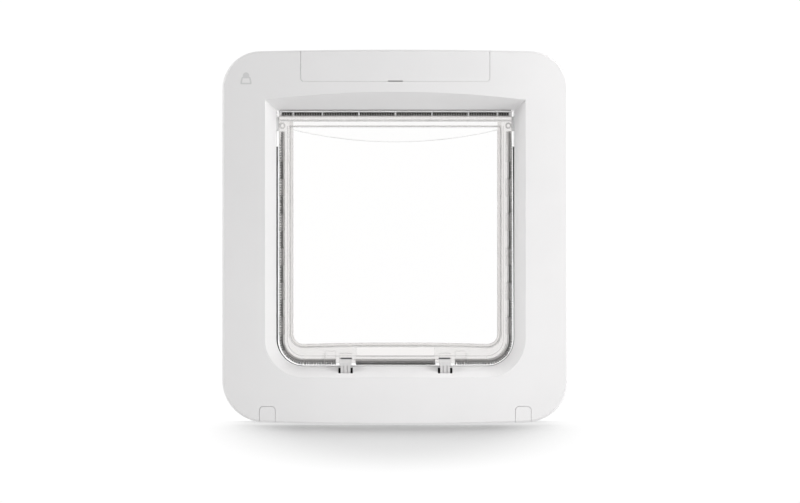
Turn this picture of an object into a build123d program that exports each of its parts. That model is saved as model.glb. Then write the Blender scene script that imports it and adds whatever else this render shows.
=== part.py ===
from build123d import *
import math
import os

# Cat flap for a door: a powered room-side frame, a clear swinging flap and an outside frame.
# X runs to the right seen from the room, Y runs through the door to the outside, Z is up.
# The origin is the middle of the door cut-out, in the inner face of the door. All sizes are in mm.

# Outline of both frames
FRAME_WIDTH = 262.0
FRAME_HEIGHT = 284.0
TOP_BOW = 1.9
BOTTOM_BOW = 3.2
TOP_CORNER = 29.0
BOTTOM_CORNER = 32.0
SHELL_WALL = 2.6
EDGE_ROUND = 1.4
EDGE_FLATS = 1
DOOR_THICKNESS = 35.0
OUTER_FRAME_DEPTH = 12.0
OUTER_EDGE_ROUND = 4.0
OUTER_EDGE_FLATS = 1

# Bands of the frame around the tunnel
HEADER_BAND = 45.0
SILL_BAND = 44.0
SIDE_BAND = 40.5
TUNNEL_CORNER = 21.0
TUNNEL_WALL = 3.0
TUNNEL_REACH = 26.0

# Sloped recess in the room-side frame
RECESS_DEPTH = 15.0
MOUTH_STEP = 8.2
MOUTH_TOP_STEP = 7.0
MOUTH_RISE = 6.0

# General clearances
FIT_GAP = 0.3
TOUCH_GAP = 0.2

# Cells and their box
CELL_DIAMETER = 14.5
CELL_LENGTH = 49.1
CELL_NUB_RADIUS = 2.7
CELL_NUB_LENGTH = 1.4
CELL_PITCH = 15.0
CONTACT_ROOM = 5.2
BOX_WALL = 1.6
BOX_HEIGHT = 18.3
BOX_RIB = 2.0
CONTACT_SHEET = 0.5
CONTACT_WIDTH = 9.0
CHASSIS_PLATE = 3.0
COVER_ROOM = 0.8

# Battery cover
COVER_ABOVE_CELLS = 4.6
COVER_BELOW_BOX = 0.6
COVER_BEVEL = 1.6
COVER_GAP = 0.2
COVER_SEAT_GAP = 0.05
COVER_END_ROOM = 3.0
COVER_BACK_STRIP = 6.0
COIN_SLOT_WIDTH = 11.2
COIN_SLOT_HEIGHT = 0.6

# Fixing screws through the door
SCREW_RADIUS = 2.0
SCREW_HEAD_RADIUS = 3.8
SCREW_HEAD_HEIGHT = 2.6
SCREW_HOLE_GAP = 0.3
SCREW_POST_HALF = 5.0
POST_BOX_GAP = 1.2
UPPER_POST_LENGTH = 17.0
LOWER_POST_LENGTH = 20.5
UPPER_SCREW_DROP = 11.0
LOWER_SCREW_RISE = 9.0
LOWER_SCREW_INSET = 34.1
OUTER_BOSS_HALF = 4.5
OUTER_BOSS_LENGTH = 9.4
SCREW_BITE = 8.0

# Screw covers at the bottom corners
SCREW_COVER_WIDTH = 11.8
SCREW_COVER_HEIGHT = 13.8
SCREW_COVER_ROUND = 3.0
SCREW_COVER_DEPTH = 14.0

# Catches and stop ribs that hold the chassis in the room-side frame
CATCH_SPREAD = 62.0
CATCH_LENGTH = 10.0
CATCH_PROUD = 1.2
CATCH_DEPTH = 1.4
STOP_RIB_WIDTH = 3.0
STOP_RIB_LENGTH = 14.0

# Flap
FLAP_SIDE_GAP = 1.9
FLAP_BOTTOM_GAP = 2.4
FLAP_TOP_GAP = 1.2
FLAP_THICKNESS = 7.0
FLAP_SET_BACK = 1.0
PIVOT_DROP = 12.0
PIVOT_RADIUS = 2.5
PIVOT_GAP = 0.15
PIVOT_LENGTH = 5.4
HUB_RADIUS = 2.2
HUB_EDGE = 0.3
HUB_PROUD = 0.4
HINGE_BAR_RISE = 3.1
HINGE_BAR_HEIGHT = 4.3
HINGE_BAR_PROUD = 1.6
WINDOW_MARGIN = 7.8
WINDOW_SLOPE = 2.9
WINDOW_DEPTH = 2.2
WINDOW_CORNER = 11.0
WINDOW_BOTTOM_RISE = 12.3
WINDOW_BOTTOM_BOW = 1.4
BROW_DEPTH = 1.8
BROW_DROP = 0.3
BROW_SAG = 9.2
CHANNEL_WIDTH = 3.4
SIDE_CHANNEL_DEPTH = 4.3
BOTTOM_CHANNEL_DEPTH = 3.0
CHANNEL_START_DROP = 4.5
TAB_PITCH = 26.3
TAB_LENGTH = 13.0
TAB_COUNT = 6
TAB_TOP_DROP = 27.5
TOP_RIB_WIDTH = 1.2
TOP_RIB_PITCH = 27.8
TOP_RIB_MARGIN = 8.6
PAD_HALF_WIDTH = 29.8
PAD_HEIGHT = 7.2
PAD_PROUD = 0.5
EDGE_RIB_X = 54.4
EDGE_RIB_WIDTH = 1.2
EDGE_RIB_HEIGHT = 7.0
LUG_WIDTH = 7.6
LUG_HEIGHT = 5.3
LUG_RISE = 3.7
LUG_PROUD = 0.9
RIM_STEP_RISE = 5.4
RIM_STEP_DEPTH = 0.4
FINGER_WIDTH = 4.3
FINGER_HEIGHT = 2.6

# Pile strips in the flap's edge channel
PILE_THICKNESS = 3.2
PILE_WALL_GAP = 0.4
PILE_TIP_DROP = 16.0
TOP_PILE_END = 2.3

# Pivot bushes
BUSH_BODY = 8.0
BUSH_FLANGE_DEPTH = 8.6
BUSH_FLANGE_HEIGHT = 10.6
BUSH_FLANGE_RISE = 1.6

# Lock
LATCH_X = 37.8
LATCH_WIDTH = 7.4
LATCH_HEAD_WIDTH = 9.2
LATCH_HEAD_HEIGHT = 4.9
LATCH_THICKNESS = 6.2
LATCH_TOP_RISE = 5.3
LATCH_LIP_GAP = 2.4
LATCH_SLOT_SIDE = 1.9
LATCH_SLOT_GAP = 0.9
LATCH_BEVEL = 1.2
LATCH_GROOVE = 0.8
LATCH_TRAVEL = 12.0
STRIKE_GAP = 0.4
STRIKE_WIDTH = 9.0
STRIKE_HEIGHT = 7.4
STRIKE_BLOCK_WIDTH = 15.0
LOCK_BAR_DROP = 10.0
LOCK_BAR_HEIGHT = 6.0
LOCK_BAR_END = 8.2
GUIDE_WALL = 2.0
GUIDE_LIP = 4.0
GUIDE_SPARE = 1.0
HOUSING_PLATE = 2.5
HOUSING_EDGE = 5.0
HOUSING_PEG = 4.0
HOUSING_PEG_HEAD = 1.0
HOUSING_PEG_X = 38.0

# Rack, pinion and gear motor
MODULE = 1.0
PINION_TEETH = 12
PINION_SHIFT = 0.3
PRESSURE_ANGLE = 20.0
TOOTH_PLAY = 0.2
TOOTH_FOOT = 1.25
PINION_WIDTH = 6.0
RACK_WIDTH = 6.0
RACK_INSET = 0.6
RACK_TOP_RISE = 2.6
PINION_DROP = 12.0
SHAFT_RADIUS = 1.5
SHAFT_SOCKET = 4.0
SHAFT_STUB = 1.0
MOTOR_GAP = 2.0
GEARBOX_LENGTH = 9.0
MOTOR_LENGTH = 15.0
MOTOR_DEPTH = 10.0
MOTOR_HEIGHT = 12.0
MOTOR_BEVEL = 2.4
CRADLE_WALL = 1.5
CRADLE_GRIP = 5.0

# Aerial coil round the tunnel
COIL_START = 4.0
COIL_FLANGE = 1.6
COIL_WIDTH = 8.0
COIL_DEPTH = 4.0
COIL_COVER_ROOM = 1.0
COIL_SLEEVE = 1.4

# Collar of the outside frame
COLLAR_WALL = 2.2
COLLAR_LAP = 9.0
OUTER_MOUTH_STEP = 5.0

# Control board and what it carries
BOARD_THICKNESS = 1.6
BOARD_STANDOFF = 19.4
BOARD_EDGE = 13.0
BOARD_LOW_DROP = 38.0
BOARD_HIGH_DROP = 10.0
STANDOFF_HALF = 3.0
STANDOFF_EDGE = 4.0
LAMP_INSET = 18.0
LAMP_DROP = 20.6
LAMP_WIDTH = 3.2
LAMP_HEIGHT = 2.4
LAMP_LENGTH = 1.9
PIPE_HALF = 2.2
SWITCH_SIZE = 6.0
SWITCH_HEIGHT = 2.5
BUTTON_HALF = 2.6
BUTTON_FLANGE = 0.8
BUTTON_RIM = 1.6
BUTTON_BEVEL = 0.6
BUTTON_LENGTH = 4.2
BUTTON_TRAVEL = 0.6
BUTTON_PLATE = 1.5
BUTTON_DROP = 19.2
PROCESSOR_SIZE = 10.0
PROCESSOR_HEIGHT = 1.4
RADIO_SIZE = 7.0
RADIO_HEIGHT = 1.2
CONNECTOR_LENGTH = 12.0
CONNECTOR_WIDTH = 5.0
CONNECTOR_HEIGHT = 5.5
CHOKE_SIZE = 6.2
CHOKE_HEIGHT = 4.5
COMPONENT_GAP = 3.0

# Places that follow from the sizes above
HALF_WIDTH = FRAME_WIDTH / 2
FRAME_TOP = FRAME_HEIGHT / 2
FRAME_BOTTOM = -FRAME_HEIGHT / 2
DOOR_INSIDE = 0.0
DOOR_OUTSIDE = DOOR_INSIDE + DOOR_THICKNESS
OUTER_FACE = DOOR_OUTSIDE + OUTER_FRAME_DEPTH
PLATE_FRONT = DOOR_INSIDE - CHASSIS_PLATE
INNER_DEPTH = CHASSIS_PLATE + BOX_WALL + 2 * CELL_PITCH + COVER_ROOM + SHELL_WALL
INNER_FACE = DOOR_INSIDE - INNER_DEPTH
INNER_WALL = INNER_FACE + SHELL_WALL
LIP_FACE = INNER_FACE + RECESS_DEPTH

TUNNEL_HALF = HALF_WIDTH - SIDE_BAND
TUNNEL_TOP = FRAME_TOP - HEADER_BAND
TUNNEL_BOTTOM = FRAME_BOTTOM + SILL_BAND
MOUTH_HALF = TUNNEL_HALF + MOUTH_STEP
MOUTH_TOP = TUNNEL_TOP + MOUTH_TOP_STEP
MOUTH_BOTTOM = TUNNEL_BOTTOM - MOUTH_STEP
MOUTH_CORNER = TUNNEL_CORNER + MOUTH_STEP

BOX_HALF = CELL_LENGTH + CELL_NUB_LENGTH + CONTACT_ROOM + BOX_WALL
CELL_AXIS_Z = FRAME_TOP - SHELL_WALL - COVER_ABOVE_CELLS - CELL_DIAMETER / 2
BOX_FLOOR_TOP = CELL_AXIS_Z - CELL_DIAMETER / 2 - TOUCH_GAP
BOX_BOTTOM = BOX_FLOOR_TOP - BOX_WALL
BOX_TOP = BOX_BOTTOM + BOX_HEIGHT
BOX_BACK = PLATE_FRONT - BOX_WALL
REAR_CELL_Y = BOX_BACK - CELL_PITCH / 2
FRONT_CELL_Y = REAR_CELL_Y - CELL_PITCH
BOX_FRONT = FRONT_CELL_Y - CELL_PITCH / 2
COVER_BOTTOM = BOX_BOTTOM - COVER_BELOW_BOX
UPPER_SCREW_X = BOX_HALF + POST_BOX_GAP + SCREW_POST_HALF
UPPER_SCREW_Z = FRAME_TOP - UPPER_SCREW_DROP
UPPER_SEAT = PLATE_FRONT - UPPER_POST_LENGTH
COVER_HALF = UPPER_SCREW_X + SCREW_POST_HALF + COVER_END_ROOM
COVER_BACK = DOOR_INSIDE - COVER_BACK_STRIP
LOWER_SCREW_X = HALF_WIDTH - LOWER_SCREW_INSET
LOWER_SCREW_Z = FRAME_BOTTOM + LOWER_SCREW_RISE
LOWER_SEAT = PLATE_FRONT - LOWER_POST_LENGTH
SCREW_END = DOOR_OUTSIDE + SCREW_BITE
STOP_RIB_X = (MOUTH_HALF + HALF_WIDTH) / 2

FLAP_HALF = TUNNEL_HALF - FLAP_SIDE_GAP
FLAP_TOP = TUNNEL_TOP - FLAP_TOP_GAP
FLAP_BOTTOM = TUNNEL_BOTTOM + FLAP_BOTTOM_GAP
FLAP_CORNER = TUNNEL_CORNER - FLAP_SIDE_GAP
FLAP_FRONT = LIP_FACE + FLAP_SET_BACK
FLAP_BACK = FLAP_FRONT + FLAP_THICKNESS
FLAP_MIDDLE = (FLAP_FRONT + FLAP_BACK) / 2
PIVOT_Z = TUNNEL_TOP - PIVOT_DROP
HINGE_BAR_BOTTOM = PIVOT_Z + HINGE_BAR_RISE
HINGE_BAR_TOP = HINGE_BAR_BOTTOM + HINGE_BAR_HEIGHT
WINDOW_HALF = FLAP_HALF - WINDOW_MARGIN
WINDOW_TOP = PIVOT_Z
WINDOW_BOTTOM = FLAP_BOTTOM + WINDOW_BOTTOM_RISE
CHANNEL_TOP = PIVOT_Z - CHANNEL_START_DROP
CHANNEL_HALF = FLAP_HALF - SIDE_CHANNEL_DEPTH
CHANNEL_BOTTOM = FLAP_BOTTOM + BOTTOM_CHANNEL_DEPTH
CHANNEL_CORNER = FLAP_CORNER - SIDE_CHANNEL_DEPTH
CHANNEL_FRONT = FLAP_MIDDLE - CHANNEL_WIDTH / 2
CHANNEL_BACK = FLAP_MIDDLE + CHANNEL_WIDTH / 2
TOP_PILE_HALF = FLAP_HALF - TOP_PILE_END
TOP_RIB_END = TOP_PILE_HALF - TOP_RIB_MARGIN

LATCH_BACK = LIP_FACE - LATCH_LIP_GAP
LATCH_FRONT = LATCH_BACK - LATCH_THICKNESS
LATCH_TOP = TUNNEL_BOTTOM + LATCH_TOP_RISE
STRIKE_FRONT = LATCH_BACK + STRIKE_GAP
BAR_TOP = TUNNEL_BOTTOM - LOCK_BAR_DROP
BAR_BOTTOM = BAR_TOP - LOCK_BAR_HEIGHT
BAR_HALF = LATCH_X + LOCK_BAR_END
GUIDE_LOW = BAR_BOTTOM - LATCH_TRAVEL - GUIDE_SPARE
HOUSING_FRONT = PLATE_FRONT - HOUSING_PLATE
PINION_PITCH = MODULE * PINION_TEETH / 2
RACK_PITCH_Y = LATCH_BACK - RACK_INSET
PINION_Y = RACK_PITCH_Y + PINION_PITCH + MODULE * PINION_SHIFT
PINION_Z = BAR_TOP - PINION_DROP
MOTOR_START = PINION_WIDTH / 2 + MOTOR_GAP
MOTOR_END = MOTOR_START + GEARBOX_LENGTH + MOTOR_LENGTH

COIL_GROW = TUNNEL_WALL + TOUCH_GAP
FLANGE_GROW = COIL_GROW + COIL_DEPTH + COIL_COVER_ROOM
COIL_END = COIL_START + 2 * COIL_FLANGE + COIL_WIDTH
COLLAR_GROW = TUNNEL_WALL + FIT_GAP
COLLAR_START = TUNNEL_REACH - COLLAR_LAP

BOARD_BACK = PLATE_FRONT - BOARD_STANDOFF
BOARD_FRONT = BOARD_BACK - BOARD_THICKNESS
BOARD_OUTER_X = HALF_WIDTH - BOARD_EDGE
BOARD_LOW = FRAME_TOP - BOARD_LOW_DROP
BOARD_HIGH = FRAME_TOP - BOARD_HIGH_DROP
LAMP_X = -HALF_WIDTH + LAMP_INSET
LAMP_Z = FRAME_TOP - LAMP_DROP
BUTTON_X = -UPPER_SCREW_X
BUTTON_Z = FRAME_TOP - BUTTON_DROP


def prism(outline, y_from, y_to):
    """Solid of a front-view outline, from one depth to another."""
    return extrude(Plane.XZ.offset(-y_to) * outline, y_to - y_from)


def side_prism(outline, x_from, x_to):
    """Solid of a side-view outline, whose coordinates are Y and Z."""
    return extrude(Plane.YZ.offset(x_from) * outline, x_to - x_from)


def block(x_from, x_to, y_from, y_to, z_from, z_to):
    """Box between two corners."""
    middle = Pos((x_from + x_to) / 2, (y_from + y_to) / 2, (z_from + z_to) / 2)
    return middle * Box(x_to - x_from, y_to - y_from, z_to - z_from)


def rod_y(x, z, radius, y_from, y_to):
    """Round rod through the depth of the door."""
    return prism(Pos(x, z) * Circle(radius), y_from, y_to)


def rod_x(y, z, radius, x_from, x_to):
    """Round rod along the width."""
    return side_prism(Pos(y, z) * Circle(radius), x_from, x_to)


def both_sides(solid):
    """A solid and its mirror image on the other side of the flap."""
    return solid + mirror(solid, Plane.YZ)


def bowed_outline(inset=0.0):
    """Frame outline with gently bowed top and bottom and round corners, moved in by an inset."""
    top_end = FRAME_TOP - TOP_BOW
    bottom_end = FRAME_BOTTOM + BOTTOM_BOW
    edges = [
        ThreePointArc((-HALF_WIDTH, top_end), (0, FRAME_TOP), (HALF_WIDTH, top_end)),
        Line((HALF_WIDTH, top_end), (HALF_WIDTH, bottom_end)),
        ThreePointArc((HALF_WIDTH, bottom_end), (0, FRAME_BOTTOM), (-HALF_WIDTH, bottom_end)),
        Line((-HALF_WIDTH, bottom_end), (-HALF_WIDTH, top_end)),
    ]
    outline = make_face(edges)
    outline = fillet(outline.vertices().group_by(Axis.Y)[-1], TOP_CORNER)
    outline = fillet(outline.vertices().group_by(Axis.Y)[0], BOTTOM_CORNER)
    if inset:
        outline = offset(outline, -inset)
    return outline


def opening_outline(half, top, bottom, corner, rise=0.0):
    """Opening with square top corners, round bottom corners and a top edge that may be arched."""
    turn = corner * (1 - math.sqrt(0.5))
    head = Line((-half, top), (half, top))
    if rise:
        head = ThreePointArc((-half, top), (0, top + rise), (half, top))
    edges = [
        head,
        Line((half, top), (half, bottom + corner)),
        ThreePointArc(
            (half, bottom + corner), (half - turn, bottom + turn), (half - corner, bottom)
        ),
        Line((half - corner, bottom), (corner - half, bottom)),
        ThreePointArc(
            (corner - half, bottom), (turn - half, bottom + turn), (-half, bottom + corner)
        ),
        Line((-half, bottom + corner), (-half, top)),
    ]
    return make_face(edges)


def tunnel_outline(grow=0.0):
    """Outline of the tunnel's inside, grown outwards."""
    return opening_outline(
        TUNNEL_HALF + grow, TUNNEL_TOP + grow, TUNNEL_BOTTOM - grow, TUNNEL_CORNER + grow
    )


def tunnel_ring(grow_in, grow_out, y_from, y_to):
    """Ring round the tunnel between two grown outlines."""
    return prism(tunnel_outline(grow_out) - tunnel_outline(grow_in), y_from, y_to)


def recess(grow=0.0):
    """Sloped space of the room-side recess, from its mouth back to the tunnel's lip."""
    mouth = opening_outline(
        MOUTH_HALF + grow, MOUTH_TOP + grow, MOUTH_BOTTOM - grow, MOUTH_CORNER + grow, MOUTH_RISE
    )
    sections = [Plane.XZ.offset(-INNER_FACE) * mouth, Plane.XZ.offset(-LIP_FACE) * tunnel_outline(grow)]
    return loft(sections, ruled=True)


def edged_slab(face, back, edge, flats):
    """Slab of the frame outline between two depths, its face's edge taken off in one or more flats."""
    inward = 1 if back > face else -1
    sections = [Plane.XZ.offset(-back) * bowed_outline()]
    for step in range(flats + 1):
        turn = math.pi / 2 * step / flats
        depth = face + inward * edge * (1 - math.sin(turn))
        sections.append(Plane.XZ.offset(-depth) * bowed_outline(edge * (1 - math.cos(turn))))
    return loft(sections, ruled=True)


def inner_shell():
    """Room-side shell before anything is cut from it, open towards the door."""
    outside = edged_slab(INNER_FACE, DOOR_INSIDE, EDGE_ROUND, EDGE_FLATS)
    return outside - prism(bowed_outline(SHELL_WALL), INNER_WALL, DOOR_INSIDE)


def screw_cover_outline(side, grow=0.0):
    """Front view of a screw cover: round at the top, running off the bottom edge."""
    top = FRAME_BOTTOM + SCREW_COVER_HEIGHT + grow
    bottom = FRAME_BOTTOM - SHELL_WALL
    outline = Pos(side * LOWER_SCREW_X, (top + bottom) / 2) * Rectangle(
        SCREW_COVER_WIDTH + 2 * grow, top - bottom
    )
    return fillet(outline.vertices().group_by(Axis.Y)[-1], SCREW_COVER_ROUND)


def battery_cover_outline(side_gap=0.0, seat_gap=0.0):
    """Front view of the battery cover, running off the top edge."""
    top = FRAME_TOP + SHELL_WALL
    bottom = COVER_BOTTOM - seat_gap
    outline = Pos(0, (top + bottom) / 2) * Rectangle(2 * (COVER_HALF + side_gap), top - bottom)
    return chamfer(outline.vertices().group_by(Axis.Y)[0], COVER_BEVEL)


def catch_room(proud, depth, length):
    """Space of the four catches at the back of the side walls, as plain blocks."""
    wall = HALF_WIDTH - SHELL_WALL
    room = block(wall - proud, HALF_WIDTH, DOOR_INSIDE - depth, DOOR_INSIDE, -length / 2, length / 2)
    pair = Pos(0, 0, CATCH_SPREAD) * room + Pos(0, 0, -CATCH_SPREAD) * room
    return both_sides(pair)


def square_post(x, z, half, y_from, y_to):
    """Square moulded post, boss or clearance hole through the depth of the door."""
    return block(x - half, x + half, y_from, y_to, z - half, z + half)


def fixing_screw_places():
    """Front-view places of the four fixing screws, each with the depth of its head's seat."""
    places = []
    for side in (-1, 1):
        places.append((side * UPPER_SCREW_X, UPPER_SCREW_Z, UPPER_SEAT))
        places.append((side * LOWER_SCREW_X, LOWER_SCREW_Z, LOWER_SEAT))
    return places


def board_standoff_places():
    """Front-view places of the control board's standoffs."""
    outer = -BOARD_OUTER_X + STANDOFF_HALF + STANDOFF_EDGE
    inner = -COVER_HALF - STANDOFF_HALF - STANDOFF_EDGE
    low = BOARD_LOW + STANDOFF_EDGE
    return [(outer, low), (inner, low), (inner, BOARD_HIGH - STANDOFF_EDGE)]


def make_interior_bezel():
    """Room-side frame: one moulded shell with the sloped recess, stop ribs and catches."""
    bezel = inner_shell() + recess(SHELL_WALL)
    bezel -= recess()
    outside = prism(bowed_outline(), INNER_FACE, DOOR_INSIDE)
    for z in (-CATCH_SPREAD, CATCH_SPREAD):
        rib = block(
            STOP_RIB_X - STOP_RIB_WIDTH / 2,
            STOP_RIB_X + STOP_RIB_WIDTH / 2,
            INNER_WALL,
            PLATE_FRONT,
            z - STOP_RIB_LENGTH / 2,
            z + STOP_RIB_LENGTH / 2,
        )
        bezel += both_sides(rib)
    catches = catch_room(CATCH_PROUD, CATCH_DEPTH, CATCH_LENGTH) & outside
    bezel += catches
    bay_front = INNER_FACE - SHELL_WALL
    bay = battery_cover_outline(COVER_GAP, COVER_SEAT_GAP)
    bezel -= prism(bay, bay_front, COVER_BACK + FIT_GAP)
    pocket_end = INNER_FACE + SCREW_COVER_DEPTH + TOUCH_GAP
    slot_half = LATCH_WIDTH / 2 + LATCH_SLOT_SIDE
    for side in (-1, 1):
        bezel -= prism(screw_cover_outline(side, TOUCH_GAP), bay_front, pocket_end)
        x = side * LOWER_SCREW_X
        bezel += square_post(x, LOWER_SCREW_Z, SCREW_POST_HALF, LOWER_SEAT, PLATE_FRONT) & outside
        bezel -= square_post(x, LOWER_SCREW_Z, SCREW_RADIUS + SCREW_HOLE_GAP, LOWER_SEAT, PLATE_FRONT)
        bezel -= block(
            side * LATCH_X - slot_half,
            side * LATCH_X + slot_half,
            LATCH_FRONT - LATCH_SLOT_GAP,
            LATCH_BACK + LATCH_SLOT_GAP,
            BAR_TOP,
            TUNNEL_BOTTOM,
        )
    return bezel


def make_battery_cover():
    """Cover of the battery bay: the front and top of the shell inside the bay's outline, with a coin slot to lift it."""
    cover = inner_shell() & prism(battery_cover_outline(), INNER_FACE, COVER_BACK)
    slot_half = COIN_SLOT_WIDTH / 2
    slot_top = COVER_BOTTOM + COIN_SLOT_HEIGHT
    return cover - block(-slot_half, slot_half, INNER_FACE, INNER_WALL, COVER_BOTTOM, slot_top)


def make_screw_cover(side):
    """Small push-in cover over a lower fixing screw."""
    outline = screw_cover_outline(side)
    return inner_shell() & prism(outline, INNER_FACE, INNER_FACE + SCREW_COVER_DEPTH)


def make_chassis():
    """Back plate of the room-side frame, moulded with the tunnel and the coil's bobbin."""
    plate_outline = bowed_outline(SHELL_WALL + FIT_GAP)
    chassis = prism(plate_outline, PLATE_FRONT, DOOR_INSIDE)
    chassis += tunnel_ring(0.0, TUNNEL_WALL, LIP_FACE, TUNNEL_REACH)
    for start in (COIL_START, COIL_END - COIL_FLANGE):
        chassis += tunnel_ring(0.0, FLANGE_GROW, start, start + COIL_FLANGE)
    for side in (-1, 1):
        x = side * UPPER_SCREW_X
        chassis += square_post(x, UPPER_SCREW_Z, SCREW_POST_HALF, UPPER_SEAT, PLATE_FRONT)
    for x, z in board_standoff_places():
        chassis += square_post(x, z, STANDOFF_HALF, BOARD_BACK, PLATE_FRONT)
    for x, z in housing_peg_places():
        chassis += square_post(x, z, HOUSING_PEG / 2, HOUSING_FRONT - HOUSING_PEG_HEAD, PLATE_FRONT)
    for x, z, seat in fixing_screw_places():
        hole_start = min(seat, PLATE_FRONT)
        chassis -= square_post(x, z, SCREW_RADIUS + SCREW_HOLE_GAP, hole_start, DOOR_INSIDE)
    chassis -= catch_room(
        CATCH_PROUD + TOUCH_GAP, CATCH_DEPTH + TOUCH_GAP, CATCH_LENGTH + 2 * TOUCH_GAP
    )
    chassis -= prism(tunnel_outline(), LIP_FACE, TUNNEL_REACH)
    return chassis - both_sides(bush_body(TUNNEL_HALF))


def bush_body(inner):
    """Square body of the right pivot bush, from a given place to the outside of the tunnel wall."""
    half = BUSH_BODY / 2
    outer = TUNNEL_HALF + TUNNEL_WALL
    return block(inner, outer, FLAP_MIDDLE - half, FLAP_MIDDLE + half, PIVOT_Z - half, PIVOT_Z + half)


def make_pivot_bushes():
    """Two bearing blocks in the tunnel walls, each with a flange on the flap's side."""
    inner = FLAP_HALF + TOUCH_GAP
    outer = TUNNEL_HALF + TUNNEL_WALL
    flange_middle = PIVOT_Z + BUSH_FLANGE_RISE
    bush = block(
        inner,
        TUNNEL_HALF,
        FLAP_MIDDLE - BUSH_FLANGE_DEPTH / 2,
        FLAP_MIDDLE + BUSH_FLANGE_DEPTH / 2,
        flange_middle - BUSH_FLANGE_HEIGHT / 2,
        flange_middle + BUSH_FLANGE_HEIGHT / 2,
    )
    bush += bush_body(inner)
    bush -= rod_x(FLAP_MIDDLE, PIVOT_Z, PIVOT_RADIUS + PIVOT_GAP, inner, outer)
    return Compound([bush, mirror(bush, Plane.YZ)])


def make_antenna_coil():
    """Wound aerial coil, as one pack of wire on the bobbin."""
    start = COIL_START + COIL_FLANGE
    return tunnel_ring(
        COIL_GROW, COIL_GROW + COIL_DEPTH, start + TOUCH_GAP, start + COIL_WIDTH - TOUCH_GAP
    )


def make_coil_sleeve():
    """Sleeve that closes the bobbin over the coil."""
    inner = FLANGE_GROW + TOUCH_GAP
    return tunnel_ring(inner, inner + COIL_SLEEVE, COIL_START, COIL_END)


def make_exterior_frame():
    """Outside frame: a shallow moulded shell with a collar that laps the tunnel."""
    frame = edged_slab(OUTER_FACE, DOOR_OUTSIDE, OUTER_EDGE_ROUND, OUTER_EDGE_FLATS)
    frame -= prism(bowed_outline(SHELL_WALL), DOOR_OUTSIDE, OUTER_FACE - SHELL_WALL)
    boss_end = DOOR_OUTSIDE + OUTER_BOSS_LENGTH
    for x, z, _ in fixing_screw_places():
        frame += square_post(x, z, OUTER_BOSS_HALF, DOOR_OUTSIDE, boss_end)
    frame += loft(
        [
            Plane.XZ.offset(-DOOR_OUTSIDE) * tunnel_outline(COLLAR_GROW + COLLAR_WALL),
            Plane.XZ.offset(-OUTER_FACE) * tunnel_outline(COLLAR_GROW + COLLAR_WALL + OUTER_MOUTH_STEP),
        ],
        ruled=True,
    )
    frame += tunnel_ring(0.0, COLLAR_GROW + COLLAR_WALL, COLLAR_START, DOOR_OUTSIDE)
    frame -= prism(tunnel_outline(COLLAR_GROW), COLLAR_START, DOOR_OUTSIDE)
    frame -= loft(
        [
            Plane.XZ.offset(-DOOR_OUTSIDE) * tunnel_outline(COLLAR_GROW),
            Plane.XZ.offset(-OUTER_FACE) * tunnel_outline(COLLAR_GROW + OUTER_MOUTH_STEP),
        ],
        ruled=True,
    )
    for x, z, _ in fixing_screw_places():
        frame -= rod_y(x, z, SCREW_RADIUS, DOOR_OUTSIDE, SCREW_END)
    return frame


def make_fixing_screws():
    """Four pan-head screws from the room side to the outside frame's bosses."""
    screws = []
    for x, z, seat in fixing_screw_places():
        screw = rod_y(x, z, SCREW_RADIUS, seat, SCREW_END)
        screw += rod_y(x, z, SCREW_HEAD_RADIUS, seat - SCREW_HEAD_HEIGHT, seat)
        screws.append(screw)
    return Compound(screws)


def window_outline(top_edge, inset=0.0):
    """Window of the flap: straight sides, bowed bottom and a given top edge."""
    half = WINDOW_HALF - inset
    middle = WINDOW_BOTTOM + inset
    ends = middle - WINDOW_BOTTOM_BOW
    sag = top_edge[1]
    top = top_edge[0] - inset
    head = Line((-half, top), (half, top))
    if sag:
        head = ThreePointArc((-half, top), (0, top - sag), (half, top))
    edges = [
        head,
        Line((half, top), (half, ends)),
        ThreePointArc((half, ends), (0, middle), (-half, ends)),
        Line((-half, ends), (-half, top)),
    ]
    outline = make_face(edges)
    return fillet(outline.vertices().group_by(Axis.Y)[0], WINDOW_CORNER - inset)


def window_pocket(top_edge, depth, inset):
    """Pocket in the flap's front with sloped sides."""
    sections = [
        Plane.XZ.offset(-FLAP_FRONT) * window_outline(top_edge),
        Plane.XZ.offset(-FLAP_FRONT - depth) * window_outline(top_edge, inset),
    ]
    return loft(sections, ruled=True)


def flap_outline():
    """Outside edge of the flap."""
    return opening_outline(FLAP_HALF, FLAP_TOP, FLAP_BOTTOM, FLAP_CORNER)


def channel_outline():
    """Floor line of the flap's edge channel."""
    return opening_outline(CHANNEL_HALF, FLAP_TOP, CHANNEL_BOTTOM, CHANNEL_CORNER)


def strike_zone(gap, y_from, y_to):
    """Solid stretches of the flap's bottom edge behind the two latches."""
    half = STRIKE_BLOCK_WIDTH / 2 + gap
    right = block(LATCH_X - half, LATCH_X + half, y_from, y_to, FLAP_BOTTOM, CHANNEL_BOTTOM)
    return both_sides(right)


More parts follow.
